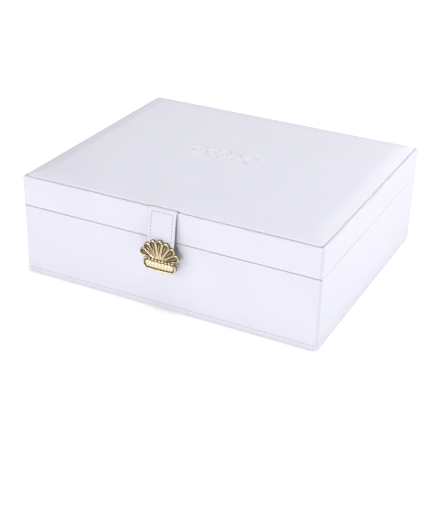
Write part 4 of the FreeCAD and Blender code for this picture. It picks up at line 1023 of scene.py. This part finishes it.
def make_ring_rolls():
    """Five stuffed velvet rolls side by side; one is blown up as cloth and copied."""
    low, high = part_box("ring_rolls")
    pitch = (high.y - low.y + 0.6 * MM) / 5
    height, length = high.z - low.z - 0.6 * MM, high.x - low.x - 1.2 * MM
    profile = roll_profile(pitch / 2 - 0.55 * MM, height)
    nominal = 123.4
    stations = [0.0, 0.6, 1.6, 3.2, 6.0] + list(np.linspace(12.0, 112.0, 26))
    stations += [118.0, 121.0, 122.4, 123.2, nominal]
    vertices = []
    for station in stations:
        share = station / nominal
        ends = min(share, 1 - share) * nominal
        shrink = 1.0 - 0.22 * (1.0 - float(smoothstep(0.0, 3.2, ends)) ** 0.5)
        for y, z in profile:
            vertices.append((share * length, y * shrink, height / 2 + (z - height / 2) * shrink))
    faces = tube_faces(len(stations), len(profile))
    roll = outward(new_object("ring_roll_master", vertices, faces))
    inflate(roll)
    bm = bmesh.new()
    for number in range(5):
        middle = low.y + pitch * (number + 0.5) - 0.3 * MM
        matrix = Matrix.Translation(Vector((low.x + 0.6 * MM, middle, low.z)))
        if number % 2:
            matrix = matrix @ Matrix.Translation(Vector((length, 0, 0))) @ Matrix.Rotation(math.pi, 4, "Z")
        copy = roll.data.copy()
        copy.transform(matrix)
        bm.from_mesh(copy)
        bpy.data.meshes.remove(copy)
    bpy.data.objects.remove(roll)
    for vertex in bm.verts:
        vertex.co.z = max(vertex.co.z, low.z + 0.05 * MM)
    rolls = bmesh_object("ring_rolls_velvet", bm)
    rolls.data.polygons.foreach_set("use_smooth", [True] * len(rolls.data.polygons))
    finish_piece(rolls, "left_drawer", "velvet", VELVET, "ring_rolls")


# ---- Materials of the CAD pieces that stay ----


def paint_cad_nodes():
    """Materials for the CAD nodes that are shown as they are; the lid's board edges look turned in."""
    painted = (
        (FIBREBOARD, ("bottom_board", "front_board", "back_board", "left_board", "right_board",
                      "lid_top_board")),
        (LEATHERETTE, ("lid_front_board", "lid_back_board", "lid_left_board", "lid_right_board")),
        (GOLD, ("clasp_rivets", "case_hinge_screws", "lid_hinge_screws", "magnet_cup",
                *(f"{side}_{part}" for side in ("left", "right")
                  for part in ("drawer_knob", "hinge_case_leaf", "hinge_lid_leaf", "hinge_pin")))),
        (STEEL, ("magnet_keeper", "clasp_magnet")),
        (MIRROR, ("mirror_glass",)),
        (FELT, ("base_felt",)),
    )
    for material, names in painted:
        for name in names:
            data = frame["nodes"][name].data
            data.materials.clear()
            data.materials.append(material)


# ---- Camera, lights and floor ----


def make_camera():
    """A viewpoint to the right of the front and above."""
    azimuth, elevation, roll = math.radians(26.27), math.radians(27.75), math.radians(1.43)
    across, up, distance = 6.8 * MM, 40.0 * MM, 982.0 * MM
    turned = (Matrix.Rotation(azimuth, 4, "Z") @ Matrix.Rotation(math.pi / 2 - elevation, 4, "X")
              @ Matrix.Rotation(roll, 4, "Z"))
    data = bpy.data.cameras.new("camera")
    data.sensor_width = 36.0
    data.lens = 76.33
    data.clip_start, data.clip_end = 0.01, 100.0
    camera = link_object("camera", data)
    camera.matrix_world = (Matrix.Translation(Vector((0.0, 0.0, 46.0 * MM))) @ turned
                           @ Matrix.Translation(Vector((-across, -up, distance))))
    bpy.context.scene.camera = camera


def make_lights():
    """Square softboxes that point at the middle of the case: place, size and power."""
    for name, location, size, power in (
        ("front_left_softbox", (-0.9, -1.4, 0.9), 0.6, 7.0),
        ("front_low_softbox", (0.2, -2.2, 0.4), 0.6, 15.8),
        ("right_softbox", (0.9, 0.12, 0.6), 0.5, 3.3),
        ("right_back_softbox", (2.0, 1.0, 0.3), 0.7, 8.4),
        ("top_softbox", (0.0, 0.0, 2.0), 1.2, 26.5),
        ("back_softbox", (0.2, 1.6, 0.7), 0.9, 6.2),
        ("back_left_softbox", (-0.7, 1.5, 0.8), 0.9, 1.9),
    ):
        data = bpy.data.lights.new(name, "AREA")
        data.size = size
        data.energy = power
        light = link_object(name, data)
        light.location = location
        aim = Vector((0.0, 0.0, 0.05)) - Vector(location)
        light.rotation_euler = aim.to_track_quat("-Z", "Y").to_euler()


def make_stage():
    """White floor that glows as painted light, less near the case than further out, and a dim surround."""
    half = 30.0
    corners = [(-half, -half, 0), (half, -half, 0), (half, half, 0), (-half, half, 0)]
    floor = new_object("floor", corners, [(0, 1, 2, 3)])
    floor.location.z = -0.1 * MM
    shader = Shader("white_floor", Roughness=0.75, Specular_IOR_Level=0.2,
                    Emission_Color=(1.0, 1.0, 1.0, 1.0))
    # Painted light: the floor glows, weakest near the case and strongest from 1.7 m out.
    away = shader.node("ShaderNodeVectorMath", {0: shader.coordinates}, operation="LENGTH").outputs["Value"]
    shader.link(shader.spread(away, 0.8, 1.7, 0.25, 0.95), "Emission Strength")
    spots = shader.spread(shader.noise(3.0, 2.0), 0.3, 0.7)
    shader.link(shader.blend(spots, (0.93, 0.93, 0.935), (0.95, 0.95, 0.955)), "Base Color")
    floor.data.materials.append(shader.material)
    world = bpy.data.worlds.new("surround")
    bpy.context.scene.world = world
    world.use_nodes = True
    background = world.node_tree.nodes["Background"]
    background.inputs["Color"].default_value = (0.95, 0.96, 1.0, 1.0)
    background.inputs["Strength"].default_value = 0.1


def main():
    make_case_cover()
    make_lid_cover()
    make_lid_pad()
    make_strap()
    make_hem_stitching()
    make_strap_stitching()
    make_clasp()
    make_velvet_pieces()
    make_ring_rolls()
    paint_cad_nodes()
    make_camera()
    make_lights()
    make_stage()
    bpy.context.scene.view_settings.view_transform = "Standard"


main()
